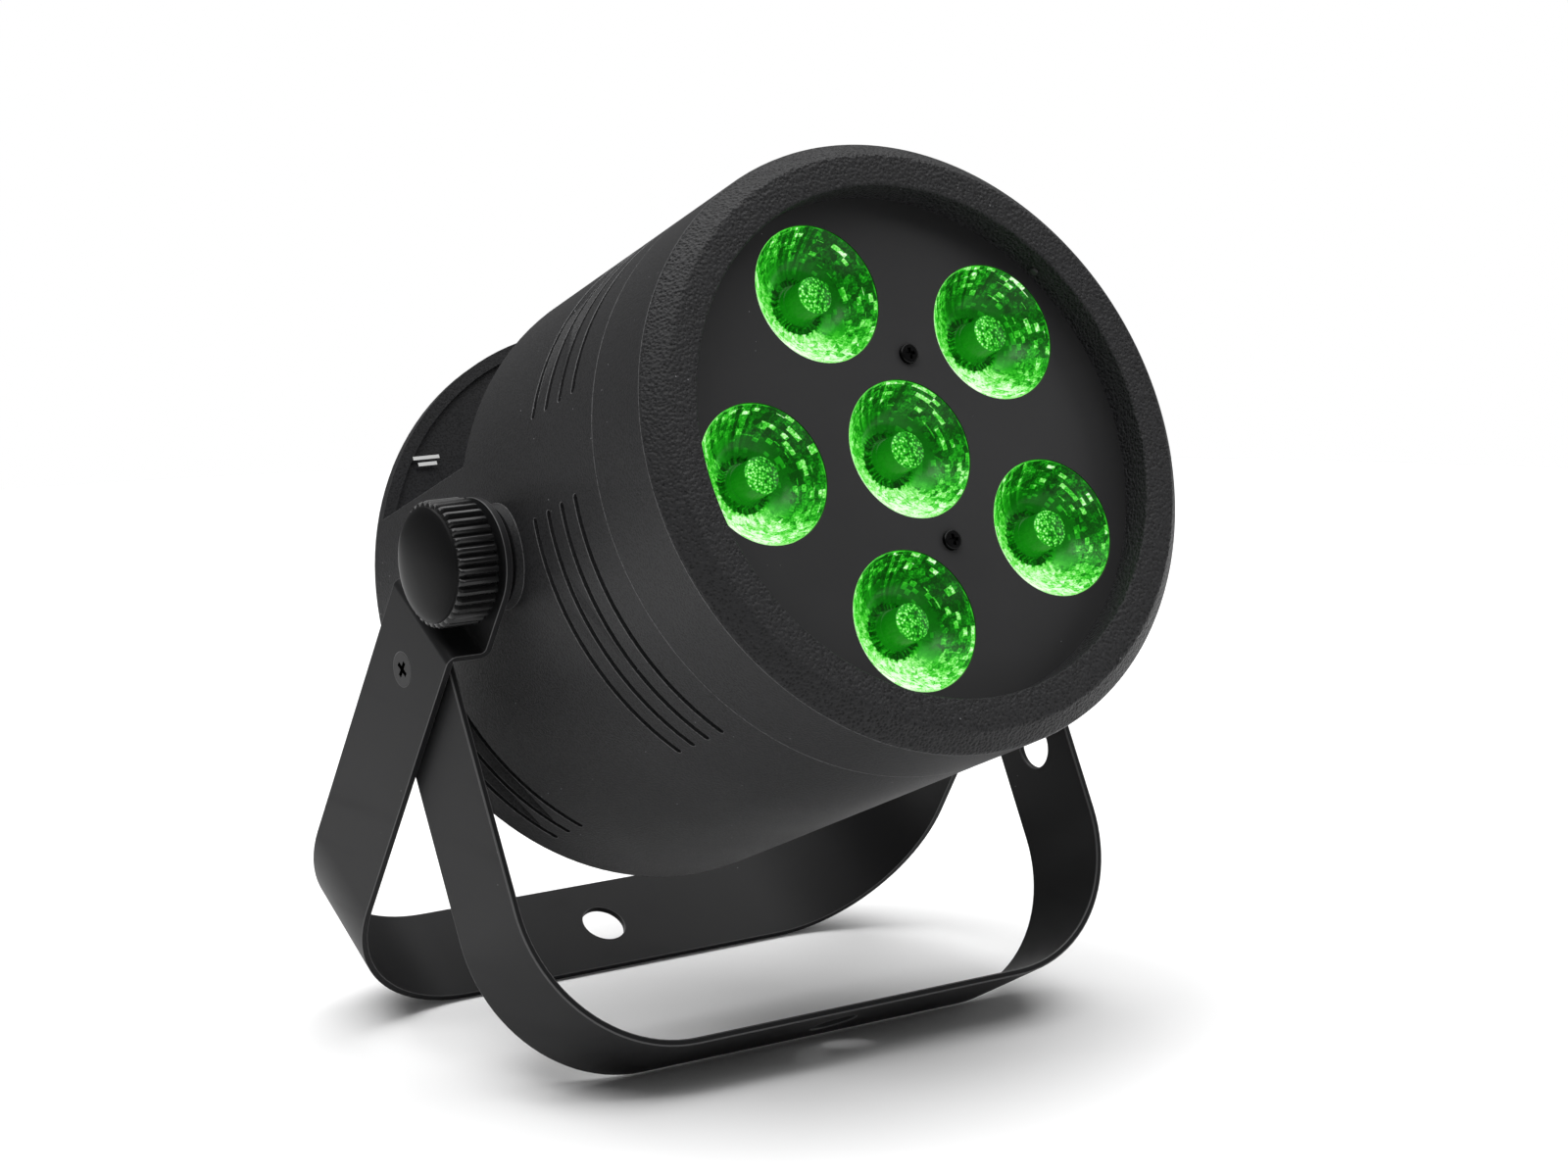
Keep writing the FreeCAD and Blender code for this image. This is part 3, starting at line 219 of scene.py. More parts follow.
def grain_group() -> NodeTree:
    """Return the group for moulded or sprayed grain: a height and a mottle mask."""

    def fill(sheet: NodeSheet, start: Node, end: Node) -> None:
        place = start.outputs["Vector"]
        cells = sheet.texture("ShaderNodeTexVoronoi", place, feature="SMOOTH_F1", Smoothness=0.6)
        fine = sheet.texture("ShaderNodeTexNoise", place, Detail=3.0, Roughness=0.62)
        broad = sheet.texture("ShaderNodeTexNoise", place, Detail=2.0)
        sheet.link(start.outputs["Scale"], cells.inputs["Scale"])
        sheet.link(sheet.math("MULTIPLY", start.outputs["Scale"], 1.7), fine.inputs["Scale"])
        sheet.link(start.outputs["Mottle Scale"], broad.inputs["Scale"])
        lumps = sheet.math("MULTIPLY", cells.outputs["Distance"], start.outputs["Lumps"])
        height = sheet.math("ADD", lumps, fine.outputs["Fac"])
        sheet.link(height, end.inputs["Height"])
        spread = sheet.math("SUBTRACT", broad.outputs["Fac"], 0.5)
        sheet.link(sheet.math("ADD", sheet.math("MULTIPLY", spread, 1.6), 0.5),
                   end.inputs["Mottle"])

    return node_group("Surface grain", {"Scale": 1500.0, "Mottle Scale": 18.0, "Lumps": 1.0},
                      {"Height": "NodeSocketFloat", "Mottle": "NodeSocketFloat"}, fill)


def dust_group() -> NodeTree:
    """Return the group for sparse light specks that settle on a dark finish."""

    def fill(sheet: NodeSheet, start: Node, end: Node) -> None:
        place = start.outputs["Vector"]
        specks = sheet.texture("ShaderNodeTexVoronoi", place)
        patches = sheet.texture("ShaderNodeTexNoise", place, Scale=DUST_PATCH_SCALE)
        sheet.link(start.outputs["Scale"], specks.inputs["Scale"])
        near = sheet.math("LESS_THAN", specks.outputs["Distance"], start.outputs["Size"])
        here = sheet.math("GREATER_THAN", patches.outputs["Fac"], start.outputs["Cover"])
        sheet.link(sheet.math("MULTIPLY", near, here), end.inputs["Mask"])

    return node_group("Dust specks", {"Scale": 260.0, "Size": 0.05, "Cover": 0.56},
                      {"Mask": "NodeSocketFloat"}, fill)


def rub_group() -> NodeTree:
    """Return the group for faint handling marks: long soft streaks."""

    def fill(sheet: NodeSheet, start: Node, end: Node) -> None:
        stretch = sheet.texture("ShaderNodeMapping", start.outputs["Vector"],
                                Scale=RUB_STRETCH)
        streak = sheet.texture("ShaderNodeTexNoise", stretch.outputs["Vector"], Detail=4.0)
        sheet.link(start.outputs["Scale"], streak.inputs["Scale"])
        lifted = sheet.math("SUBTRACT", streak.outputs["Fac"], 0.55)
        sheet.link(sheet.math("MAXIMUM", sheet.math("MULTIPLY", lifted, 4.0), 0.0),
                   end.inputs["Mask"])

    return node_group("Handling marks", {"Scale": 40.0}, {"Mask": "NodeSocketFloat"}, fill)


def placed_group(sheet: NodeSheet, tree: NodeTree, vector: NodeSocket, **values: float) -> Node:
    """Return a group placed in a material, with its own values by input name."""
    return sheet.texture("ShaderNodeGroup", vector, node_tree=tree, **values)


# ---------------- finishes
@dataclass(frozen=True)
class Finish:
    """A base for every finish: a name, a colour and a shine."""

    name: str
    colour: Colour
    roughness: float = 0.5
    specular: float = 0.22

    def sheet(self) -> Tuple[Material, NodeSheet, Node, NodeSocket]:
        """Start the material.

        Returns:
            The material, its nodes, its Principled node and its Object coordinates.
        """
        material = bpy.data.materials.new(self.name)
        material.use_nodes = True
        sheet = NodeSheet(material.node_tree)
        shader = material.node_tree.nodes["Principled BSDF"]
        shader.inputs["Base Color"].default_value = (*self.colour, 1.0)
        shader.inputs["Roughness"].default_value = self.roughness
        shader.inputs["Specular IOR Level"].default_value = self.specular
        place = sheet.add("ShaderNodeTexCoord")
        return material, sheet, shader, place.outputs["Object"]

    def build(self) -> Material:
        """Return the material."""
        raise NotImplementedError


@dataclass(frozen=True)
class GrainedBlack(Finish):
    """Moulded or sprayed black with grain, mottle and dust."""

    grain: float = 1500.0
    lumps: float = 1.0
    depth: float = 0.12 * MM
    strength: float = 0.5
    mottle: float = 0.25
    dust: float = 0.56

    def build(self) -> Material:
        """Return the material."""
        material, sheet, shader, place = self.sheet()
        grain = placed_group(sheet, grain_group(), place, Scale=self.grain, Lumps=self.lumps)
        dust = placed_group(sheet, dust_group(), place, Cover=self.dust)
        low = tuple(c * (1.0 - self.mottle) for c in self.colour)
        high = tuple(c * (1.0 + 1.6 * self.mottle) for c in self.colour)
        speck = sheet.math("SUBTRACT", grain.outputs["Height"], 0.48 + 0.26 * self.lumps)
        speck = sheet.math("MULTIPLY", speck, 1.9)
        patch = sheet.math("ADD", sheet.math("MULTIPLY", grain.outputs["Mottle"], 0.4), 0.2)
        base = sheet.mix(sheet.math("ADD", speck, patch), low, high)
        dusty = sheet.mix(dust.outputs["Mask"], base, DUST_TONE)
        sheet.link(dusty, shader.inputs["Base Color"])
        sheet.dull(shader, grain.outputs["Mottle"], 0.12, self.roughness - 0.06)
        sheet.bump(shader, grain.outputs["Height"], self.strength, self.depth)
        return material


@dataclass(frozen=True)
class SatinPaint(Finish):
    """Smooth sprayed paint with faint orange peel and handling marks."""

    peel: float = 700.0
    depth: float = 0.03 * MM
    strength: float = 0.35
    marks: float = 0.5

    def build(self) -> Material:
        """Return the material."""
        material, sheet, shader, place = self.sheet()
        grain = placed_group(sheet, grain_group(), place, Scale=self.peel, Lumps=0.3)
        dust = placed_group(sheet, dust_group(), place, Cover=0.6, Size=0.04)
        rubs = placed_group(sheet, rub_group(), place)
        high = tuple(c * 1.35 for c in self.colour)
        base = sheet.mix(grain.outputs["Mottle"], self.colour, high)
        dusty = sheet.mix(dust.outputs["Mask"], base, FILM_TONE)
        sheet.link(dusty, shader.inputs["Base Color"])
        sheet.dull(shader, rubs.outputs["Mask"], 0.12 * self.marks, self.roughness)
        sheet.bump(shader, grain.outputs["Height"], self.strength, self.depth)
        return material


@dataclass(frozen=True)
class BareMetal(Finish):
    """Plated or extruded metal with a brushed variation."""

    brush: float = 300.0
    wear: float = 0.15

    def build(self) -> Material:
        """Return the material."""
        material, sheet, shader, place = self.sheet()
        shader.inputs["Metallic"].default_value = 1.0
        rubs = placed_group(sheet, rub_group(), place, Scale=self.brush)
        grain = placed_group(sheet, grain_group(), place, Scale=900.0, Lumps=0.2)
        dark = tuple(c * 0.7 for c in self.colour)
        sheet.link(sheet.mix(grain.outputs["Mottle"], self.colour, dark),
                   shader.inputs["Base Color"])
        sheet.dull(shader, rubs.outputs["Mask"], self.wear, self.roughness)
        return material


@dataclass(frozen=True)
class PlainPlastic(Finish):
    """Smooth moulded plastic with a slight mottle and moulding texture."""

    gloss: float = 0.0
    depth: float = 0.02 * MM
    strength: float = 0.15

    def build(self) -> Material:
        """Return the material."""
        material, sheet, shader, place = self.sheet()
        grain = placed_group(sheet, grain_group(), place, Scale=1100.0, Lumps=0.4)
        high = tuple(min(1.0, c * 1.25 + 0.002) for c in self.colour)
        sheet.link(sheet.mix(grain.outputs["Mottle"], self.colour, high),
                   shader.inputs["Base Color"])
        sheet.dull(shader, grain.outputs["Mottle"], 0.08, self.roughness)
        sheet.bump(shader, grain.outputs["Height"], self.strength, self.depth)
        shader.inputs["Coat Weight"].default_value = self.gloss
        return material


@dataclass(frozen=True)
class SmokedPane(Finish):
    """Smoked clear plastic."""

    clear: float = 0.7

    def build(self) -> Material:
        """Return the material."""
        material, sheet, shader, place = self.sheet()
        shader.inputs["Transmission Weight"].default_value = self.clear
        grain = placed_group(sheet, grain_group(), place, Scale=200.0, Lumps=0.1)
        sheet.dull(shader, grain.outputs["Mottle"], 0.04, self.roughness)
        return material


LENS_MARKS = ("glow", "busy", "blocks", "spokes", "pearl")
GLOW_STOPS = [(0.0, (0.001, 0.018, 0.001)), (0.25, (0.002, 0.11, 0.002)),
              (0.45, (0.012, 0.32, 0.008)), (0.62, (0.06, 0.62, 0.03)),
              (0.8, (0.30, 0.92, 0.20)), (1.0, (0.85, 1.0, 0.78))]


@dataclass(frozen=True)
class LitOptic(Finish):
    """Clear resin lit from behind, cut into small facets that glow by different amounts."""

    power: float = 1.0
    spokes: float = 46.0
    ring_pitch: float = 1.35
    gain: float = 0.66
    pearls: float = 1.25
    chip_shape: Tuple[float, float, float] = (0.75, 0.42, 0.3)
    chip_scale: float = 2.1
    fizz_scale: float = 1700.0

    def facets(self, sheet: NodeSheet) -> Tuple[NodeSocket, NodeSocket]:
        """Add the facet pattern, on the lens's own round coordinates in millimetres.

        Args:
            sheet: The material's nodes.

        Returns:
            The change of glow and the facet tone.
        """
        spot = sheet.add("ShaderNodeAttribute", attribute_name="spot")
        parts = sheet.add("ShaderNodeSeparateXYZ")
        sheet.link(spot.outputs["Vector"], parts.inputs[0])
        angle = sheet.math("ARCTAN2", parts.outputs["Y"], parts.outputs["X"])
        squared = sheet.math("ADD", sheet.math("MULTIPLY", parts.outputs["X"], parts.outputs["X"]),
                             sheet.math("MULTIPLY", parts.outputs["Y"], parts.outputs["Y"]))
        radius = sheet.math("SQRT", squared, 0.0)
        polar = sheet.add("ShaderNodeCombineXYZ")
        sheet.link(sheet.math("MULTIPLY", angle, self.spokes / math.tau), polar.inputs["X"])
        sheet.link(sheet.math("DIVIDE", radius, self.ring_pitch), polar.inputs["Y"])
        sheet.link(parts.outputs["Z"], polar.inputs["Z"])
        blocks = sheet.add("ShaderNodeVectorMath", operation="FLOOR")
        sheet.link(polar.outputs[0], blocks.inputs[0])
        block_tone = sheet.texture("ShaderNodeTexWhiteNoise", blocks.outputs[0],
                                   noise_dimensions="3D")
        stretch = sheet.texture("ShaderNodeMapping", polar.outputs[0], Scale=self.chip_shape)
        chips = sheet.texture("ShaderNodeTexVoronoi", stretch.outputs["Vector"],
                              Scale=self.chip_scale)
        chip_parts = sheet.add("ShaderNodeSeparateColor")
        sheet.link(chips.outputs["Color"], chip_parts.inputs["Color"])
        tone = sheet.math("ADD", sheet.math("MULTIPLY", block_tone.outputs["Value"], 0.35),
                          sheet.math("MULTIPLY", chip_parts.outputs["Red"], 0.65))
        swing = sheet.math("MULTIPLY", sheet.math("SUBTRACT", tone, 0.5), self.gain)
        lit = sheet.math("GREATER_THAN", block_tone.outputs["Value"], 0.84)
        spoke = sheet.add("ShaderNodeTexWhiteNoise", noise_dimensions="1D")
        sheet.link(sheet.math("FLOOR", sheet.math("MULTIPLY", angle, 13.0), 0.0),
                   spoke.inputs["W"])
        spokes = sheet.math("SUBTRACT", spoke.outputs["Value"], 0.5)
        pearls = sheet.texture("ShaderNodeTexVoronoi", spot.outputs["Vector"],
                               Scale=self.pearls)
        pearl = sheet.math("SUBTRACT", 0.42, pearls.outputs["Distance"])
        total = self.share(sheet, swing, "busy", 1.0)
        for value, name, gain in ((sheet.math("SUBTRACT", lit, 0.25), "blocks", 0.42),
                                  (spokes, "spokes", 0.5), (pearl, "pearl", 1.0)):
            total = sheet.math("ADD", total, self.share(sheet, value, name, gain))
        return total, tone

    def share(self, sheet: NodeSheet, value: NodeSocket, name: str, gain: float) -> NodeSocket:
        """Return a pattern times gain times the lens's painted share of that name."""
        weight = sheet.add("ShaderNodeAttribute", attribute_name=name)
        return sheet.math("MULTIPLY", sheet.math("MULTIPLY", value, gain), weight.outputs["Fac"])

    def build(self) -> Material:
        """Return the material."""
        material, sheet, shader, place = self.sheet()
        glow = sheet.add("ShaderNodeAttribute", attribute_name="glow")
        swing, tone = self.facets(sheet)
        noise = sheet.texture("ShaderNodeTexNoise", place, Scale=self.fizz_scale, Detail=3.0)
        fizz = self.share(sheet, sheet.math("SUBTRACT", noise.outputs["Fac"], 0.5), "busy", 0.95)
        level = sheet.math("ADD", glow.outputs["Fac"], sheet.math("ADD", swing, fizz))
        sheet.link(sheet.ramp(level, GLOW_STOPS), shader.inputs["Emission Color"])
        shader.inputs["Emission Strength"].default_value = self.power
        sheet.bump(shader, tone, 0.25, 0.05 * MM)
        return material


class Look(Enum):
    """Every finish on the light, by the record's slot where it has one."""

    CAN = GrainedBlack("Can black", (0.0115, 0.0115, 0.012), 0.48, specular=0.18, grain=1500.0,
                       depth=0.12 * MM, strength=0.55, mottle=0.5, dust=0.55)
    # Lighter, shinier black on the can's eased edges: a painted highlight along them.
    CAN_EDGE = GrainedBlack("Can edge painted highlight", (0.05, 0.05, 0.051), 0.36, specular=0.4, grain=1500.0,
                            mottle=0.6)
    BEZEL = GrainedBlack("Bezel wrinkle black", (0.0085, 0.0085, 0.009), 0.42, specular=0.16,
                         grain=1050.0, lumps=1.7, depth=0.36 * MM, strength=0.95, mottle=0.6,
                         dust=0.6)
    PLATE = SatinPaint("Face plate satin black", (0.019, 0.019, 0.0195), 0.40)
    STRIP = SatinPaint("Bracket powder black", (0.0105, 0.0105, 0.011), 0.45, specular=0.10,
                       peel=1500.0, depth=0.06 * MM)
    # Lighter, shinier paint on the brackets' rounded edges: a painted highlight along them.
    STRIP_EDGE = SatinPaint("Bracket edge painted highlight", (0.055, 0.055, 0.056), 0.34, specular=0.35,
                            peel=1500.0)
    KNOB = PlainPlastic("Knob black", (0.005, 0.005, 0.0052), 0.2, specular=0.32)
    KNOB_FACE = PlainPlastic("Knob face black", (0.0045, 0.0045, 0.0047), 0.3, specular=0.05)
    RUBBER = PlainPlastic("Rubber black", (0.014, 0.014, 0.014), 0.75)
    SCREW = BareMetal("Screw black oxide", (0.015, 0.015, 0.0155), 0.28)
    STEEL = BareMetal("Zinc steel", (0.56, 0.56, 0.57), 0.32)
    SINK = BareMetal("Sink aluminium", (0.70, 0.70, 0.72), 0.38)
    BOARD_WHITE = PlainPlastic("Board white", (0.72, 0.73, 0.71), 0.45)
    BOARD_GREEN = PlainPlastic("Board green", (0.02, 0.16, 0.06), 0.35)
    HOLDER = PlainPlastic("Holder black", (0.02, 0.02, 0.02), 0.5)
    WINDOW = SmokedPane("Smoked window", (0.05, 0.05, 0.055), 0.05)
    DISPLAY = PlainPlastic("Display dark", (0.006, 0.006, 0.006), 0.15, gloss=0.5)
    SOCKET_BLUE = PlainPlastic("Socket blue", (0.015, 0.06, 0.33), 0.4)
    SOCKET_GREY = PlainPlastic("Socket grey", (0.33, 0.34, 0.36), 0.45)
    SOCKET_BLACK = PlainPlastic("Socket black", (0.018, 0.018, 0.018), 0.45)
    PIN = BareMetal("Contact brass", (0.72, 0.56, 0.28), 0.25)
    FUSE_GLASS = SmokedPane("Fuse glass", (0.8, 0.84, 0.86), 0.03, clear=0.9)
    WIRE = PlainPlastic("Wire red", (0.4, 0.02, 0.015), 0.45)
    KEY = PlainPlastic("Key grey", (0.07, 0.07, 0.075), 0.5)
    PRINT = PlainPlastic("Printed white", (0.62, 0.62, 0.60), 0.6)
    OPTIC = LitOptic("Lit lens", (0.004, 0.06, 0.004), 0.22, specular=0.12)
    EMITTER = LitOptic("Lit emitter", (0.02, 0.3, 0.02), 0.3, power=2.0)

    def material(self) -> Material:
        """Return the finish's material, made on first use."""
        found = bpy.data.materials.get(self.value.name)
        return found or self.value.build()


NODE_LOOKS: Dict[Look, Tuple[str, ...]] = {
    Look.CAN: ("can_shell", "front_collar", "rear_cover"),
    Look.BEZEL: ("bezel_ring",),
    Look.PLATE: ("front_plate", "connector_panel"),
    Look.STRIP: ("main_yoke", "stand_bracket"),
    Look.KNOB: ("knob_left", "knob_right"),
    Look.RUBBER: ("plate_gasket", "friction_rings"),
    Look.SCREW: ("plate_screws", "cover_screws", "connector_screws", "pivot_screws"),
    Look.STEEL: ("plate_standoffs", "sink_screws", "tilt_inserts", "control_posts",
                 "supply_tray", "knob_stud_left", "knob_stud_right", "knob_washer_left",
                 "knob_washer_right", "pivot_nuts"),
    Look.SINK: ("heat_sink",),
    Look.BOARD_WHITE: ("led_board",),
    Look.BOARD_GREEN: ("control_board", "driver_board"),
    Look.HOLDER: ("lens_holders", "pivot_washers"),
    Look.WINDOW: ("display_window",),
    Look.DISPLAY: ("display_module",),
    Look.SOCKET_BLUE: ("power_inlet",),
    Look.SOCKET_GREY: ("power_outlet",),
    Look.SOCKET_BLACK: ("signal_in_body", "signal_out_body", "fuse_holder", "fuse_cap",
                        "switch_bodies"),
    Look.PIN: ("signal_in_pins",),
    Look.FUSE_GLASS: ("fuse_link",),
    Look.WIRE: ("wire_harness",),
    Look.KEY: ("signal_out_latch", "menu_button_1", "menu_button_2", "menu_button_3",
               "menu_button_4"),
    Look.OPTIC: ("lenses",),
    Look.EMITTER: ("led_chips",),
}


def dress(piece: Object, *looks: Look) -> None:
    """Give an object its finishes, in slot order.

    Args:
        piece: A mesh object.
        looks: The finishes.
    """
    if piece.data.materials:
        piece.data.materials.clear()
    for look in looks:
        piece.data.materials.append(look.material())


def dress_frame() -> None:
    """Give every carried-over node its finish."""
    for look, names in NODE_LOOKS.items():
        for name in names:
            dress(frame["nodes"][name], look)
            LOG.info("node %s: %s", name, look.value.name)


# ---------------- mesh tools
def finish_piece(name: str, mesh: BMesh, body: str,
                 looks: Sequence[Look], replaced: Sequence[str] = (),
                 smooth_deg: float = 35.0, flats: bool = False) -> Object:
    """Turn a bmesh into a piece of the light.

    Args:
        name: The piece's name.
        mesh: The mesh, in the row frame; it is freed.
        body: The body that it moves with.
        looks: Its finishes in slot order.
        replaced: Nodes that it stands for.
        smooth_deg: Edges flatter than this are shaded smooth.
        flats: Whether large faces keep their own shading beside rounded edges.

    Returns:
        The new object.
    """
    data = bpy.data.meshes.new(name)
    mesh.to_mesh(data)
    mesh.free()
    piece = bpy.data.objects.new(name, data)
    bpy.context.scene.collection.objects.link(piece)
    data.shade_smooth()
    data.set_sharp_from_angle(angle=math.radians(smooth_deg))
    if flats:
        piece.modifiers.new("flats", "WEIGHTED_NORMAL").keep_sharp = True
    dress(piece, *looks)
    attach(piece, body)
    if replaced:
        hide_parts(*replaced)
    LOG.info("piece %s on %s: %d faces", name, body, len(data.polygons))
    return piece


def lift_ring(mesh: BMesh, edges: Iterable[BMEdge], radius: float,
              height: float, old_radius: float) -> List[BMEdge]:
    """Extrude a ring of edges round z, then scale it to a radius and move it to a height.

    Args:
        mesh: The mesh.
        edges: The open ring.
        radius: New radius.
        height: New z.
        old_radius: The ring's present radius.

    Returns:
        The new open ring.
    """
    made = bmesh.ops.extrude_edge_only(mesh, edges=list(edges))["geom"]
    verts = [v for v in made if isinstance(v, BMVert)]
    ring = [e for e in made if isinstance(e, BMEdge)
            and all(v in set(verts) for v in e.verts)]
    scale = radius / old_radius
    bmesh.ops.scale(mesh, verts=verts, vec=(scale, scale, 1.0))
    for vert in verts:
        vert.co.z = height
    return ring


def turned_shell(profile: Sequence[Tuple[float, float]], segments: int) -> BMesh:
    """Spin a closed outline of radius and z about the z axis.

    Args:
        profile: Points of the outline in order.
        segments: Steps round the axis.

    Returns:
        The closed mesh.
    """
    mesh = bmesh.new()
    verts = [mesh.verts.new((radius, 0.0, height)) for radius, height in profile]
    edges = [mesh.edges.new((a, b)) for a, b in zip(verts, verts[1:] + verts[:1])]
    bmesh.ops.spin(mesh, geom=verts + edges, cent=(0, 0, 0), axis=(0, 0, 1),
                   angle=math.tau, steps=segments, use_merge=True, dvec=(0, 0, 0))
    bmesh.ops.remove_doubles(mesh, verts=mesh.verts, dist=0.001 * MM)
    bmesh.ops.recalc_face_normals(mesh, faces=mesh.faces)
    return mesh


def sharp_edges(mesh: BMesh, degrees: float) -> List[BMEdge]:
    """Return the edges that turn by more than an angle."""
    limit = math.radians(degrees)
    return [e for e in mesh.edges if len(e.link_faces) == 2 and e.calc_face_angle() > limit]


def rounded(mesh: BMesh, edges: Sequence[BMEdge], width: float,
            segments: int = 2, look: int = 0, clamp: bool = True) -> None:
    """Round some edges.

    Args:
        mesh: The mesh.
        edges: The edges to round.
        width: Size of the rounding.
        segments: Steps across it.
        look: Slot of the rounding's own finish.
        clamp: Whether short edges may hold the rounding back.
    """
    made = bmesh.ops.bevel(mesh, geom=list(edges), offset=width, offset_type="OFFSET",
                           affect="EDGES", segments=segments, profile=0.5, material=-1,
                           clamp_overlap=clamp)
    for face in made["faces"]:
        face.material_index = look


def merged_copy(node: str, flat_deg: float = 0.6) -> BMesh:
    """Copy a node's mesh with its doubles merged and its flats joined.

    Args:
        node: The node.
        flat_deg: Faces that meet at less than this angle are joined.

    Returns:
        The copy.
    """
    mesh = bmesh.new()
    mesh.from_mesh(frame["nodes"][node].data)
    bmesh.ops.remove_doubles(mesh, verts=mesh.verts, dist=0.002 * MM)
    bmesh.ops.dissolve_limit(mesh, angle_limit=math.radians(flat_deg), verts=mesh.verts,
                             edges=mesh.edges, delimit=set())
    return mesh


# ---------------- head frame
@dataclass
class HeadFrame:
    """Axes of the tilting head: x across, y up, z the way the lamp faces."""

    axis_back: float = 82.8 * MM
    axis_rise: float = 1.9 * MM
    forward: Vector = field(default_factory=lambda: joint_axis("key_1_press"))
    up: Vector = field(default_factory=lambda: joint_axis("fuse_lift"))
    pivot: Vector = field(default_factory=lambda: joint_place("head_tilt"))

    @property
    def matrix(self) -> Matrix:
        """Head frame to row frame; the origin is the middle of the face plate."""
        side = self.up.cross(self.forward)
        origin = self.pivot + self.forward * self.axis_back - self.up * self.axis_rise
        turn = Matrix((side, self.up, self.forward)).transposed().to_4x4()
        return Matrix.Translation(origin) @ turn

    def place(self, mesh: BMesh) -> BMesh:
        """Move a mesh from the head frame to the row frame."""
        bmesh.ops.transform(mesh, verts=mesh.verts, matrix=self.matrix)
        return mesh


def find_joint(name: str) -> Dict[str, object]:
    """Return the joint of that name."""
    return next(joint for joint in frame["joints"] if joint["name"] == name)


def joint_axis(name: str) -> Vector:
    """Return a joint's axis."""
    return Vector(find_joint(name)["axis"]).normalized()


def joint_place(name: str) -> Vector:
    """Return a joint's place."""
    return Vector(find_joint(name)["pos_m"])


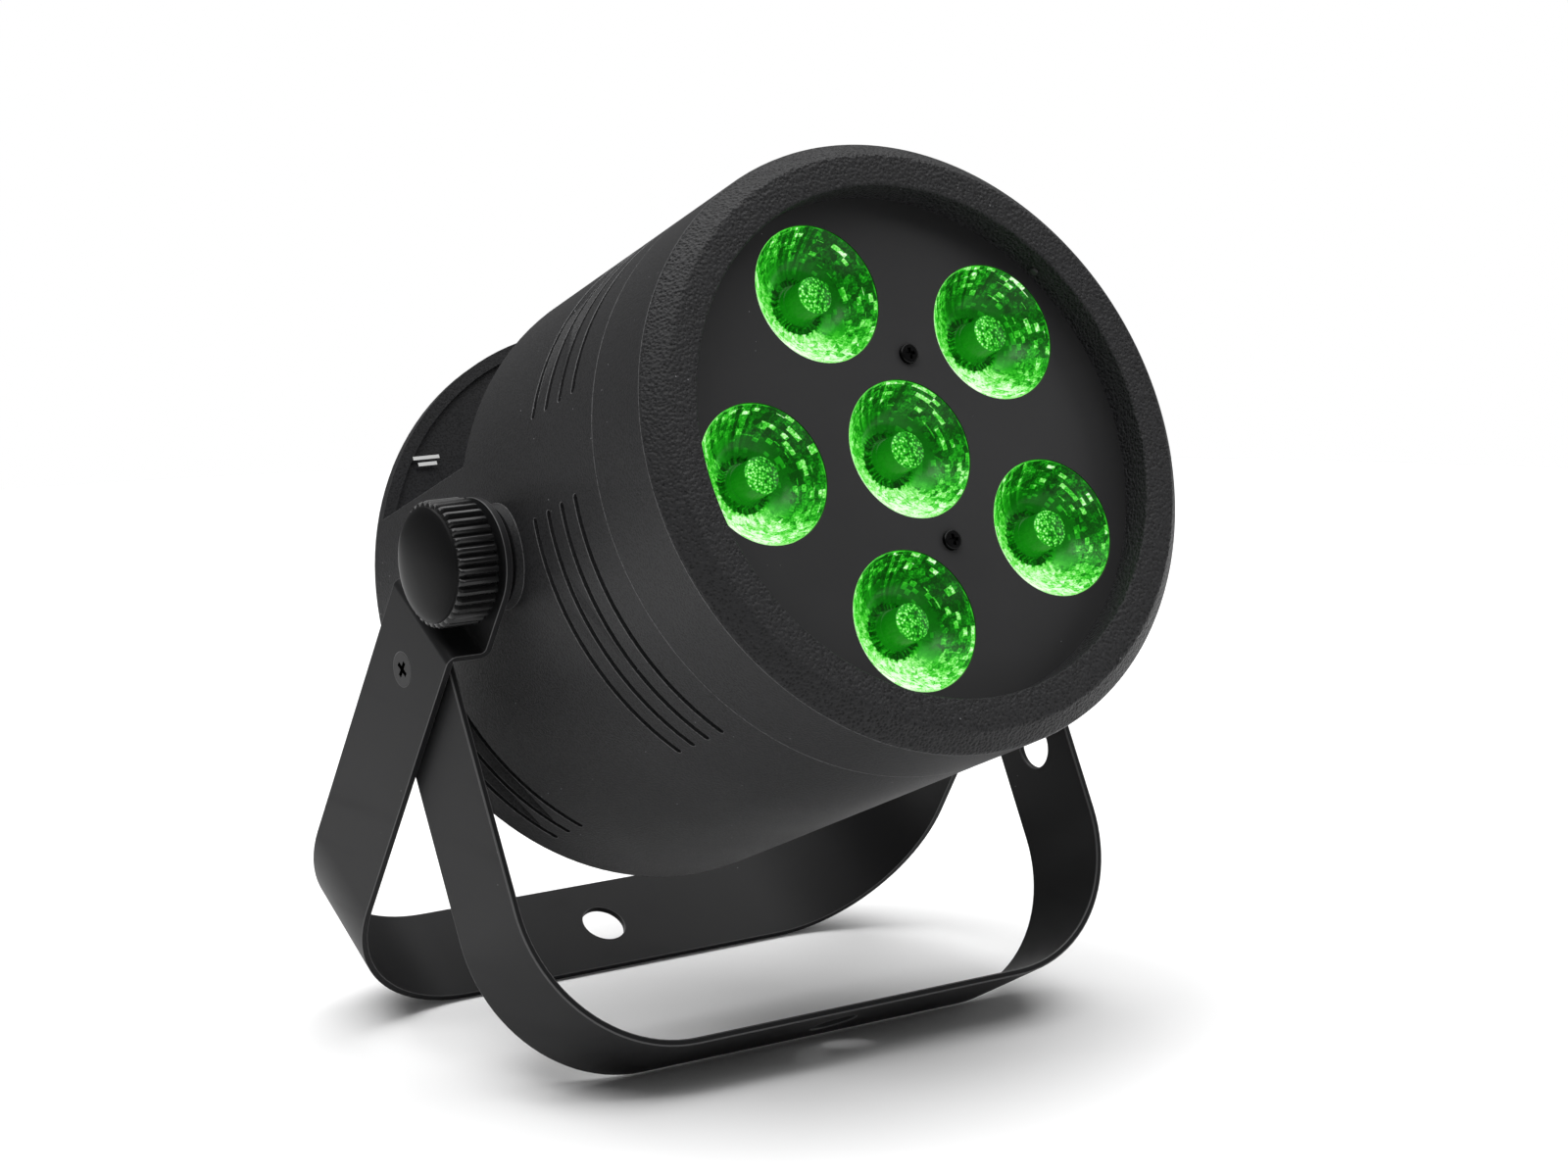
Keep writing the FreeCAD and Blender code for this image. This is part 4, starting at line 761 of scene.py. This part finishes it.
# ---------------- lenses
@dataclass
class LensSet:
    """Six lit collimator lenses: rim, faceted bowl, well and pillar, all as one surface."""

    head: HeadFrame
    aperture: float = 19.9 * MM
    bowl_top: float = 19.35 * MM
    bowl_foot: float = 8.1 * MM
    bowl_depth: float = 10.6 * MM
    well_depth: float = 12.2 * MM
    pillar: float = 5.4 * MM
    pillar_top: float = -1.3 * MM
    ring_radius: float = 49.5 * MM
    outer_count: int = 5
    first_deg: float = 39.0
    bright_deg: float = 218.0
    segments: int = 96
    bowl_rings: int = 14
    turn_step_deg: float = 71.0      # gives each lens its own facets
    layer_step: float = 40.0

    def spots(self) -> List[Tuple[float, float]]:
        """Return the lens centres in the head frame."""
        out = [(0.0, 0.0)]
        for i in range(self.outer_count):
            angle = math.radians(self.first_deg + 360.0 / self.outer_count * i)
            out.append((self.ring_radius * math.cos(angle), self.ring_radius * math.sin(angle)))
        return out

    def profile(self) -> List[Tuple[float, float]]:
        """Return radius and height from the rim's foot inwards to near the pillar's middle."""
        points = [(self.aperture, -3.0 * MM), (self.aperture, -0.55 * MM),
                  (self.aperture - 0.12 * MM, -0.3 * MM), (self.aperture - 0.35 * MM, -0.22 * MM),
                  (self.bowl_top, -0.5 * MM)]
        for i in range(1, self.bowl_rings + 1):
            share = i / self.bowl_rings
            radius = self.bowl_top + (self.bowl_foot - self.bowl_top) * share
            points.append((radius, -0.5 * MM - self.bowl_depth * math.sin(share * math.pi / 2)))
        well = self.well_depth
        points += [(self.bowl_foot - 0.2 * MM, -well), (self.pillar + 0.9 * MM, -well),
                   (self.pillar + 0.8 * MM, -well + 1.6 * MM),
                   (self.pillar + 0.35 * MM, -well + 1.7 * MM),
                   (self.pillar + 0.3 * MM, -well + 3.4 * MM), (self.pillar, -well + 3.5 * MM),
                   (self.pillar, self.pillar_top - 0.2 * MM),
                   (self.pillar - 0.2 * MM, self.pillar_top)]
        for share in (0.8, 0.6, 0.4, 0.2, 0.08):
            bulge = 0.7 * MM * (1.0 - share * share)
            points.append((self.pillar * share, self.pillar_top + bulge))
        return points

    def marks(self, spot: Vector) -> Dict[str, float]:
        """Say how the lens glows at a point.

        Args:
            spot: The point from the lens's own centre.

        Returns:
            The even glow and the shares of chips, blocks, spokes and pearls over it.
        """
        radius = math.hypot(spot.x, spot.y)
        angle = math.atan2(spot.y, spot.x)
        side = math.cos(angle - math.radians(self.bright_deg))
        if radius > self.bowl_top + 0.2 * MM:
            return {"glow": 0.70 + 0.2 * side, "busy": 0.12}
        if radius < self.pillar * 0.99 and spot.z > self.pillar_top - 0.1 * MM:
            return {"glow": 0.56 - 0.16 * spot.x / self.pillar, "busy": 0.15, "pearl": 1.0}
        if radius < self.pillar + 0.6 * MM:
            return {"glow": 0.20 + 0.10 * side, "busy": 0.06}
        if radius < self.bowl_foot:
            return {"glow": 0.15 + 0.08 * side, "busy": 0.5, "spokes": 0.7}
        share = (self.bowl_top - radius) / (self.bowl_top - self.bowl_foot)
        upper = max(0.0, math.cos(angle - math.radians(110.0)))
        lower = max(0.0, math.cos(angle - math.radians(285.0)))
        edge = 1.0 - share
        level = 0.40 + 0.30 * max(side, -0.4) + 0.05 * upper + 0.24 * lower * lower
        level += 0.22 * max(0.0, side) ** 2 * edge
        if side < 0.1:
            level -= 0.10 * share
        calm = 0.2 if side < 0.0 and share > 0.5 else 1.0
        return {"glow": level, "busy": calm * (0.5 + 0.5 * edge),
                "blocks": max(0.0, -side) * edge * 1.3, "spokes": upper ** 2 * edge * 1.2}

    def one(self, index: int, centre: Tuple[float, float]) -> Object:
        """Build one lens.

        Args:
            index: Number of the lens, from one.
            centre: Its centre in the head frame.

        Returns:
            The lens.
        """
        mesh = bmesh.new()
        points = self.profile()
        made = bmesh.ops.create_circle(mesh, cap_ends=False, segments=self.segments,
                                       radius=points[0][0])["verts"]
        for vert in made:
            vert.co.z = points[0][1]
        ring = list(mesh.edges)
        for (old, _), (radius, height) in zip(points, points[1:]):
            ring = lift_ring(mesh, ring, radius, height, old)
        bmesh.ops.edgeloop_fill(mesh, edges=ring)
        bmesh.ops.recalc_face_normals(mesh, faces=mesh.faces)
        spot_layer = mesh.verts.layers.float_vector.new("spot")
        layers = {name: mesh.verts.layers.float.new(name) for name in LENS_MARKS}
        turn = Matrix.Rotation(math.radians(self.turn_step_deg * index), 3, "Z")
        layer = Vector((0.0, 0.0, self.layer_step * index))
        for vert in mesh.verts:
            vert[spot_layer] = (turn @ vert.co) / MM + layer
            marks = self.marks(vert.co)
            for name, store in layers.items():
                vert[store] = marks.get(name, 0.0)
        bmesh.ops.translate(mesh, verts=mesh.verts, vec=(centre[0], centre[1], 0.0))
        self.head.place(mesh)
        return finish_piece("lens_%d" % index, mesh, "head", [Look.OPTIC],
                            ["lenses"] if index == 1 else [], smooth_deg=28.0)

    def build(self) -> List[Object]:
        """Build every lens and return them."""
        return [self.one(i + 1, spot) for i, spot in enumerate(self.spots())]


# ---------------- bezel
@dataclass
class BezelSkin:
    """Front ring with softened corners."""

    head: HeadFrame
    open_radius: float = 73.2 * MM
    face_radius: float = 82.2 * MM
    body_radius: float = 87.4 * MM
    face_height: float = 10.0 * MM
    back_height: float = 3.5 * MM
    spigot_radius: float = 84.35 * MM
    seat_radius: float = 76.1 * MM
    seat_back: float = -3.0 * MM
    soft: float = 0.7 * MM
    segments: int = 256
    bead_radius: float = 1.3 * MM
    bead_deg: float = 40.0
    bead_height: float = 3.0 * MM

    def build(self) -> Object:
        """Spin the ring and round its corners."""
        outline = [(self.open_radius, self.face_height), (self.face_radius, self.face_height),
                   (self.body_radius, self.back_height + 1.0 * MM),
                   (self.body_radius, self.back_height), (self.spigot_radius, self.back_height),
                   (self.spigot_radius, self.seat_back), (self.seat_radius, self.seat_back),
                   (self.seat_radius, 0.0), (self.open_radius, 0.0)]
        mesh = turned_shell(outline, self.segments)
        corners = [e for e in sharp_edges(mesh, 25.0)
                   if all(v.co.z > self.back_height + 0.5 * MM for v in e.verts)]
        rounded(mesh, corners, self.soft, segments=4)
        self.head.place(mesh)
        return finish_piece("bezel_skin", mesh, "head", [Look.BEZEL],
                            ["bezel_ring"])

    def mould_mark(self) -> Object:
        """Small locating bead on the inner wall of the bezel."""
        mesh = bmesh.new()
        bmesh.ops.create_uvsphere(mesh, u_segments=20, v_segments=12,
                                  radius=self.bead_radius)
        bmesh.ops.scale(mesh, verts=mesh.verts, vec=(1.0, 0.55, 1.3))
        spot = Matrix.Rotation(math.radians(self.bead_deg) - math.pi / 2, 4, "Z")
        spot = spot @ Matrix.Translation((0.0, self.open_radius - 0.25 * MM, self.bead_height))
        bmesh.ops.transform(mesh, verts=mesh.verts, matrix=spot)
        self.head.place(mesh)
        return finish_piece("bezel_bead", mesh, "head", [Look.PLATE],
                            smooth_deg=60.0)


# ---------------- strips
@dataclass
class BentStrip:
    """A steel bracket whose cut edges are softened by its powder coat and painted lighter as a
    highlight.
    """

    node: str
    body: str
    edge_round: float = 0.45 * MM

    def build(self) -> Object:
        """Round the strip's edges and return the piece."""
        mesh = merged_copy(self.node)
        # The rounded edges get slot 1, a lighter finish that paints a highlight along them.
        rounded(mesh, sharp_edges(mesh, 40.0), self.edge_round, segments=3, look=1)
        return finish_piece(self.node + "_coat", mesh, self.body,
                            [Look.STRIP, Look.STRIP_EDGE], [self.node], smooth_deg=32.0,
                            flats=True)


@dataclass
class CanSkin:
    """A round moulding whose outer edges are eased and painted lighter as a highlight."""

    node: str
    head: HeadFrame
    radius: float = 87.5 * MM
    edge_round: float = 0.16 * MM
    least_wall: float = 0.1 * MM * MM
    edge_slack: float = 0.06 * MM
    skin_slack: float = 0.12 * MM

    def build(self) -> Object:
        """Ease the edges that lie on the outer skin and return the piece."""
        mesh = merged_copy(self.node, 0.01)
        home = self.head.matrix.inverted()

        def outside(edge: BMEdge) -> bool:
            """Say whether an edge lies on the outer skin, at the rim of a real wall."""
            spots = [home @ vert.co for vert in edge.verts]
            out = Vector((spots[0].x, spots[0].y, 0.0)).normalized()
            wall = any(face.calc_area() > self.least_wall
                       and abs((home.to_3x3() @ face.normal).dot(out)) < 0.5
                       for face in edge.link_faces)
            return wall and all(abs(math.hypot(p.x, p.y) - self.radius) < self.edge_slack
                                for p in spots)

        edges = [edge for edge in sharp_edges(mesh, 60.0) if outside(edge)]
        # The eased edges get slot 1, a lighter finish that paints a highlight along them.
        rounded(mesh, edges, self.edge_round, segments=2, look=1, clamp=False)
        LOG.info("%s: %d outer edges eased", self.node, len(edges))
        piece = finish_piece(self.node + "_skin", mesh, "head",
                             [Look.CAN, Look.CAN_EDGE], [self.node], smooth_deg=20.0)
        self.round_normals(piece.data)
        return piece

    def round_normals(self, data: Mesh) -> None:
        """Shade the outer skin as a true cylinder.

        Args:
            data: The piece's mesh.
        """
        home, away = self.head.matrix.inverted(), self.head.matrix.to_3x3()
        normals = [Vector() for _ in data.loops]
        for face in data.polygons:
            spots = [home @ data.vertices[i].co for i in face.vertices]
            out = [Vector((p.x, p.y, 0.0)) for p in spots]
            on_skin = all(abs(o.length - self.radius) < self.skin_slack for o in out)
            if on_skin and face.normal.dot(away @ out[0].normalized()) > 0.9:
                for loop, direction in zip(face.loop_indices, out):
                    normals[loop] = away @ direction.normalized()
        data.normals_split_custom_set(normals)


@dataclass
class PrintedBars:
    """Plain printed bars beside the sockets and under the keys, in place of words."""

    head: HeadFrame
    film: float = 0.04 * MM
    bay_face: float = -155.0 * MM
    rear_face: float = -160.0 * MM
    bay_bars: Tuple[Tuple[float, float, float, float], ...] = (
        (-61.5, 51.2, 9.0, 1.1), (-61.5, 49.2, 6.4, 1.1), (40.0, 56.0, 9.0, 1.1))
    key_x: Tuple[float, ...] = (-27.0, -9.0, 9.0, 27.0)
    key_y: float = -23.4
    key_bar: Tuple[float, float] = (6.0, 1.0)

    def bar(self, name: str, spot: Tuple[float, float, float], size: Tuple[float, float]
            ) -> Object:
        """Lay one bar.

        Args:
            name: Name of the piece.
            spot: Its centre in the head frame.
            size: Width and height.

        Returns:
            The bar.
        """
        mesh = bmesh.new()
        bmesh.ops.create_cube(mesh, size=1.0)
        bmesh.ops.scale(mesh, vec=(*size, self.film), verts=mesh.verts)
        bmesh.ops.translate(mesh, vec=spot, verts=mesh.verts)
        self.head.place(mesh)
        return finish_piece(name, mesh, "head", [Look.PRINT], smooth_deg=30.0)

    def build(self) -> List[Object]:
        """Print every bar and return them."""
        out = []
        for i, (x, y, width, height) in enumerate(self.bay_bars):
            spot = (x * MM, y * MM, self.bay_face + self.film / 2)
            out.append(self.bar("bay_bar_%d" % (i + 1), spot, (width * MM, height * MM)))
        for i, x in enumerate(self.key_x):
            spot = (x * MM, self.key_y * MM, self.rear_face - self.film / 2)
            size = (self.key_bar[0] * MM, self.key_bar[1] * MM)
            out.append(self.bar("key_bar_%d" % (i + 1), spot, size))
        return out


# ---------------- knobs
@dataclass
class TiltKnob:
    """Ribbed hand knob with a domed face."""

    node: str
    body: str
    radius: float = 17.9 * MM
    groove: float = 1.25 * MM
    ribs: int = 36
    steps_per_rib: int = 8
    dome: float = 3.4 * MM
    dome_rings: int = 10
    bore: float = 4.06 * MM
    collar: float = 14.4 * MM

    def rib_radius(self, angle: float, base: float) -> float:
        """Radius of the ribbed outline at an angle: round ribs, narrow grooves."""
        wave = math.cos(angle * self.ribs)
        return base - self.groove * (0.5 - 0.5 * wave) ** 2.2

    def build(self) -> Object:
        """Build the knob outwards along z, then lay it on its axis."""
        low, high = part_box(self.node)
        inner = min(abs(low.x), abs(high.x))
        outer = max(abs(low.x), abs(high.x))
        side = 1.0 if high.x > 0 else -1.0
        top = outer - self.dome
        segments = self.ribs * self.steps_per_rib
        mesh = bmesh.new()
        made = bmesh.ops.create_circle(mesh, cap_ends=False, segments=segments,
                                       radius=self.bore)["verts"]
        for vert in made:
            vert.co.z = inner
        ring = list(mesh.edges)
        foot = inner + 0.6 * MM
        plan = [(14.2 * MM, inner, 0.0), (self.collar, inner + 0.2 * MM, 0.0),
                (self.collar, foot, 0.0), (self.radius - 1.6 * MM, foot, 0.0),
                (self.radius - 0.5 * MM, foot + 0.15 * MM, 0.7),
                (self.radius - 0.1 * MM, foot + 0.6 * MM, 1.0),
                (self.radius, foot + 1.4 * MM, 1.0), (self.radius, top - 1.4 * MM, 1.0),
                (self.radius - 0.12 * MM, top - 0.7 * MM, 1.0),
                (self.radius - 0.55 * MM, top - 0.15 * MM, 0.85),
                (self.radius - 1.1 * MM, top + 0.05 * MM, 0.3),
                (self.radius - 1.5 * MM, top + 0.1 * MM, 0.0)]
        old = self.bore
        for radius, height, depth in plan:
            ring = lift_ring(mesh, ring, radius, height, old)
            old = radius
            self.rib_ring(ring, radius, depth)
        base = self.radius - 1.5 * MM
        for i in range(1, self.dome_rings):
            share = i / self.dome_rings
            radius = base * math.cos(share * math.pi / 2)
            height = top + 0.1 * MM + (self.dome - 0.1 * MM) * math.sin(share * math.pi / 2) ** 0.9
            ring = lift_ring(mesh, ring, radius, height, old)
            old = radius
        bmesh.ops.edgeloop_fill(mesh, edges=ring)
        bmesh.ops.recalc_face_normals(mesh, faces=mesh.faces)
        for face in mesh.faces:
            face.material_index = int(face.calc_center_median().z > top + 0.1 * MM)
        pivot = joint_place("head_tilt")
        lay = Matrix.Rotation(side * math.pi / 2, 4, "Y")
        bmesh.ops.transform(mesh, verts=mesh.verts,
                            matrix=Matrix.Translation((0.0, pivot.y, pivot.z)) @ lay)
        return finish_piece(self.node + "_cap", mesh, self.body,
                            [Look.KNOB, Look.KNOB_FACE], [self.node], smooth_deg=30.0)

    def rib_ring(self, ring: Sequence[BMEdge], base: float, depth: float) -> None:
        """Press the rib outline into one ring.

        Args:
            ring: Edges of the ring.
            base: The ring's round radius.
            depth: Share of the full groove.
        """
        for vert in {v for edge in ring for v in edge.verts}:
            angle = math.atan2(vert.co.y, vert.co.x)
            wanted = base + (self.rib_radius(angle, base) - base) * depth
            vert.co.x = wanted * math.cos(angle)
            vert.co.y = wanted * math.sin(angle)


# ---------------- studio
@dataclass
class Studio:
    """Floor, lights and camera."""

    stand_off: Vector = field(default_factory=lambda: Vector((-0.5901, -0.8701, 0.1638)))
    azimuth_deg: float = 34.6
    elevation_deg: float = 9.84
    roll_deg: float = -0.8
    lens_mm: float = 83.19
    sensor_mm: float = 36.0
    floor_radius: float = 1.25
    floor_drop: float = 0.2 * MM
    aim_height: float = 0.14
    ambient: float = 0.2

    def floor(self) -> None:
        """Lay a pale floor."""
        mesh = bmesh.new()
        bmesh.ops.create_circle(mesh, cap_ends=True, segments=96, radius=self.floor_radius)
        data = bpy.data.meshes.new("floor")
        mesh.to_mesh(data)
        mesh.free()
        floor = bpy.data.objects.new("floor", data)
        floor.location.z = -self.floor_drop
        bpy.context.scene.collection.objects.link(floor)
        paint = bpy.data.materials.new("Floor white")
        paint.use_nodes = True
        shader = paint.node_tree.nodes["Principled BSDF"]
        shader.inputs["Base Color"].default_value = (0.93, 0.93, 0.93, 1.0)
        shader.inputs["Roughness"].default_value = 0.9
        shader.inputs["Specular IOR Level"].default_value = 0.1
        data.materials.append(paint)

    def softbox(self, name: str, place: Tuple[float, float, float],
                size: Tuple[float, float], power: float) -> None:
        """Hang one soft light that faces the lamp.

        Args:
            name: The light's name.
            place: Where it hangs.
            size: Width and height.
            power: Watts.
        """
        light = bpy.data.lights.new(name, "AREA")
        light.shape = "RECTANGLE"
        light.size, light.size_y = size
        light.energy = power
        holder = bpy.data.objects.new(name, light)
        holder.location = place
        aim = Vector((0.0, 0.0, self.aim_height)) - Vector(place)
        holder.rotation_euler = aim.to_track_quat("-Z", "Y").to_euler()
        bpy.context.scene.collection.objects.link(holder)

    def lights(self) -> None:
        """Light the set evenly with a stronger key from the upper left."""
        world = bpy.data.worlds.new("Studio")
        world.use_nodes = True
        sheet = NodeSheet(world.node_tree)
        backdrop = world.node_tree.nodes["Background"]
        backdrop.inputs["Color"].default_value = (1.0, 1.0, 1.0, 1.0)
        seen = sheet.add("ShaderNodeLightPath").outputs["Is Camera Ray"]
        level = sheet.math("MULTIPLY", seen, 1.0 - self.ambient)
        sheet.link(sheet.math("ADD", level, self.ambient), backdrop.inputs["Strength"])
        bpy.context.scene.world = world
        self.softbox("key", (-1.1, -0.5, 1.7), (0.8, 0.8), 10.0)
        self.softbox("top", (0.1, 0.2, 2.2), (3.4, 3.4), 105.0)
        self.softbox("side", (1.6, -0.9, 0.5), (0.5, 1.4), 4.5)

    def camera(self) -> None:
        """Set up the camera."""
        data = bpy.data.cameras.new("camera")
        data.lens = self.lens_mm
        data.sensor_width = self.sensor_mm
        camera = bpy.data.objects.new("camera", data)
        azimuth, elevation = math.radians(self.azimuth_deg), math.radians(self.elevation_deg)
        look = Vector((math.sin(azimuth) * math.cos(elevation),
                       math.cos(azimuth) * math.cos(elevation), -math.sin(elevation)))
        turn = look.to_track_quat("-Z", "Y").to_matrix().to_4x4()
        roll = Matrix.Rotation(math.radians(self.roll_deg), 4, "Z")
        place = joint_place("head_tilt") + self.stand_off
        camera.matrix_world = Matrix.Translation(place) @ turn @ roll
        bpy.context.scene.collection.objects.link(camera)
        bpy.context.scene.camera = camera
        bpy.context.scene.view_settings.view_transform = "Standard"

    def build(self) -> None:
        """Set up the whole studio."""
        self.floor()
        self.lights()
        self.camera()


def main() -> None:
    """Build every class in order."""
    logging.basicConfig(level=logging.INFO, format="%(name)s: %(message)s")
    head = HeadFrame()
    dress_frame()
    LensSet(head).build()
    bezel = BezelSkin(head)
    bezel.build()
    bezel.mould_mark()
    for node, body in (("main_yoke", "yoke"), ("stand_bracket", "stand")):
        BentStrip(node, body).build()
    for side in ("left", "right"):
        TiltKnob("knob_" + side, side + "_knob").build()
    for node in ("can_shell", "front_collar"):
        CanSkin(node, head).build()
    PrintedBars(head).build()
    Studio().build()


if __name__ == "__main__":
    main()
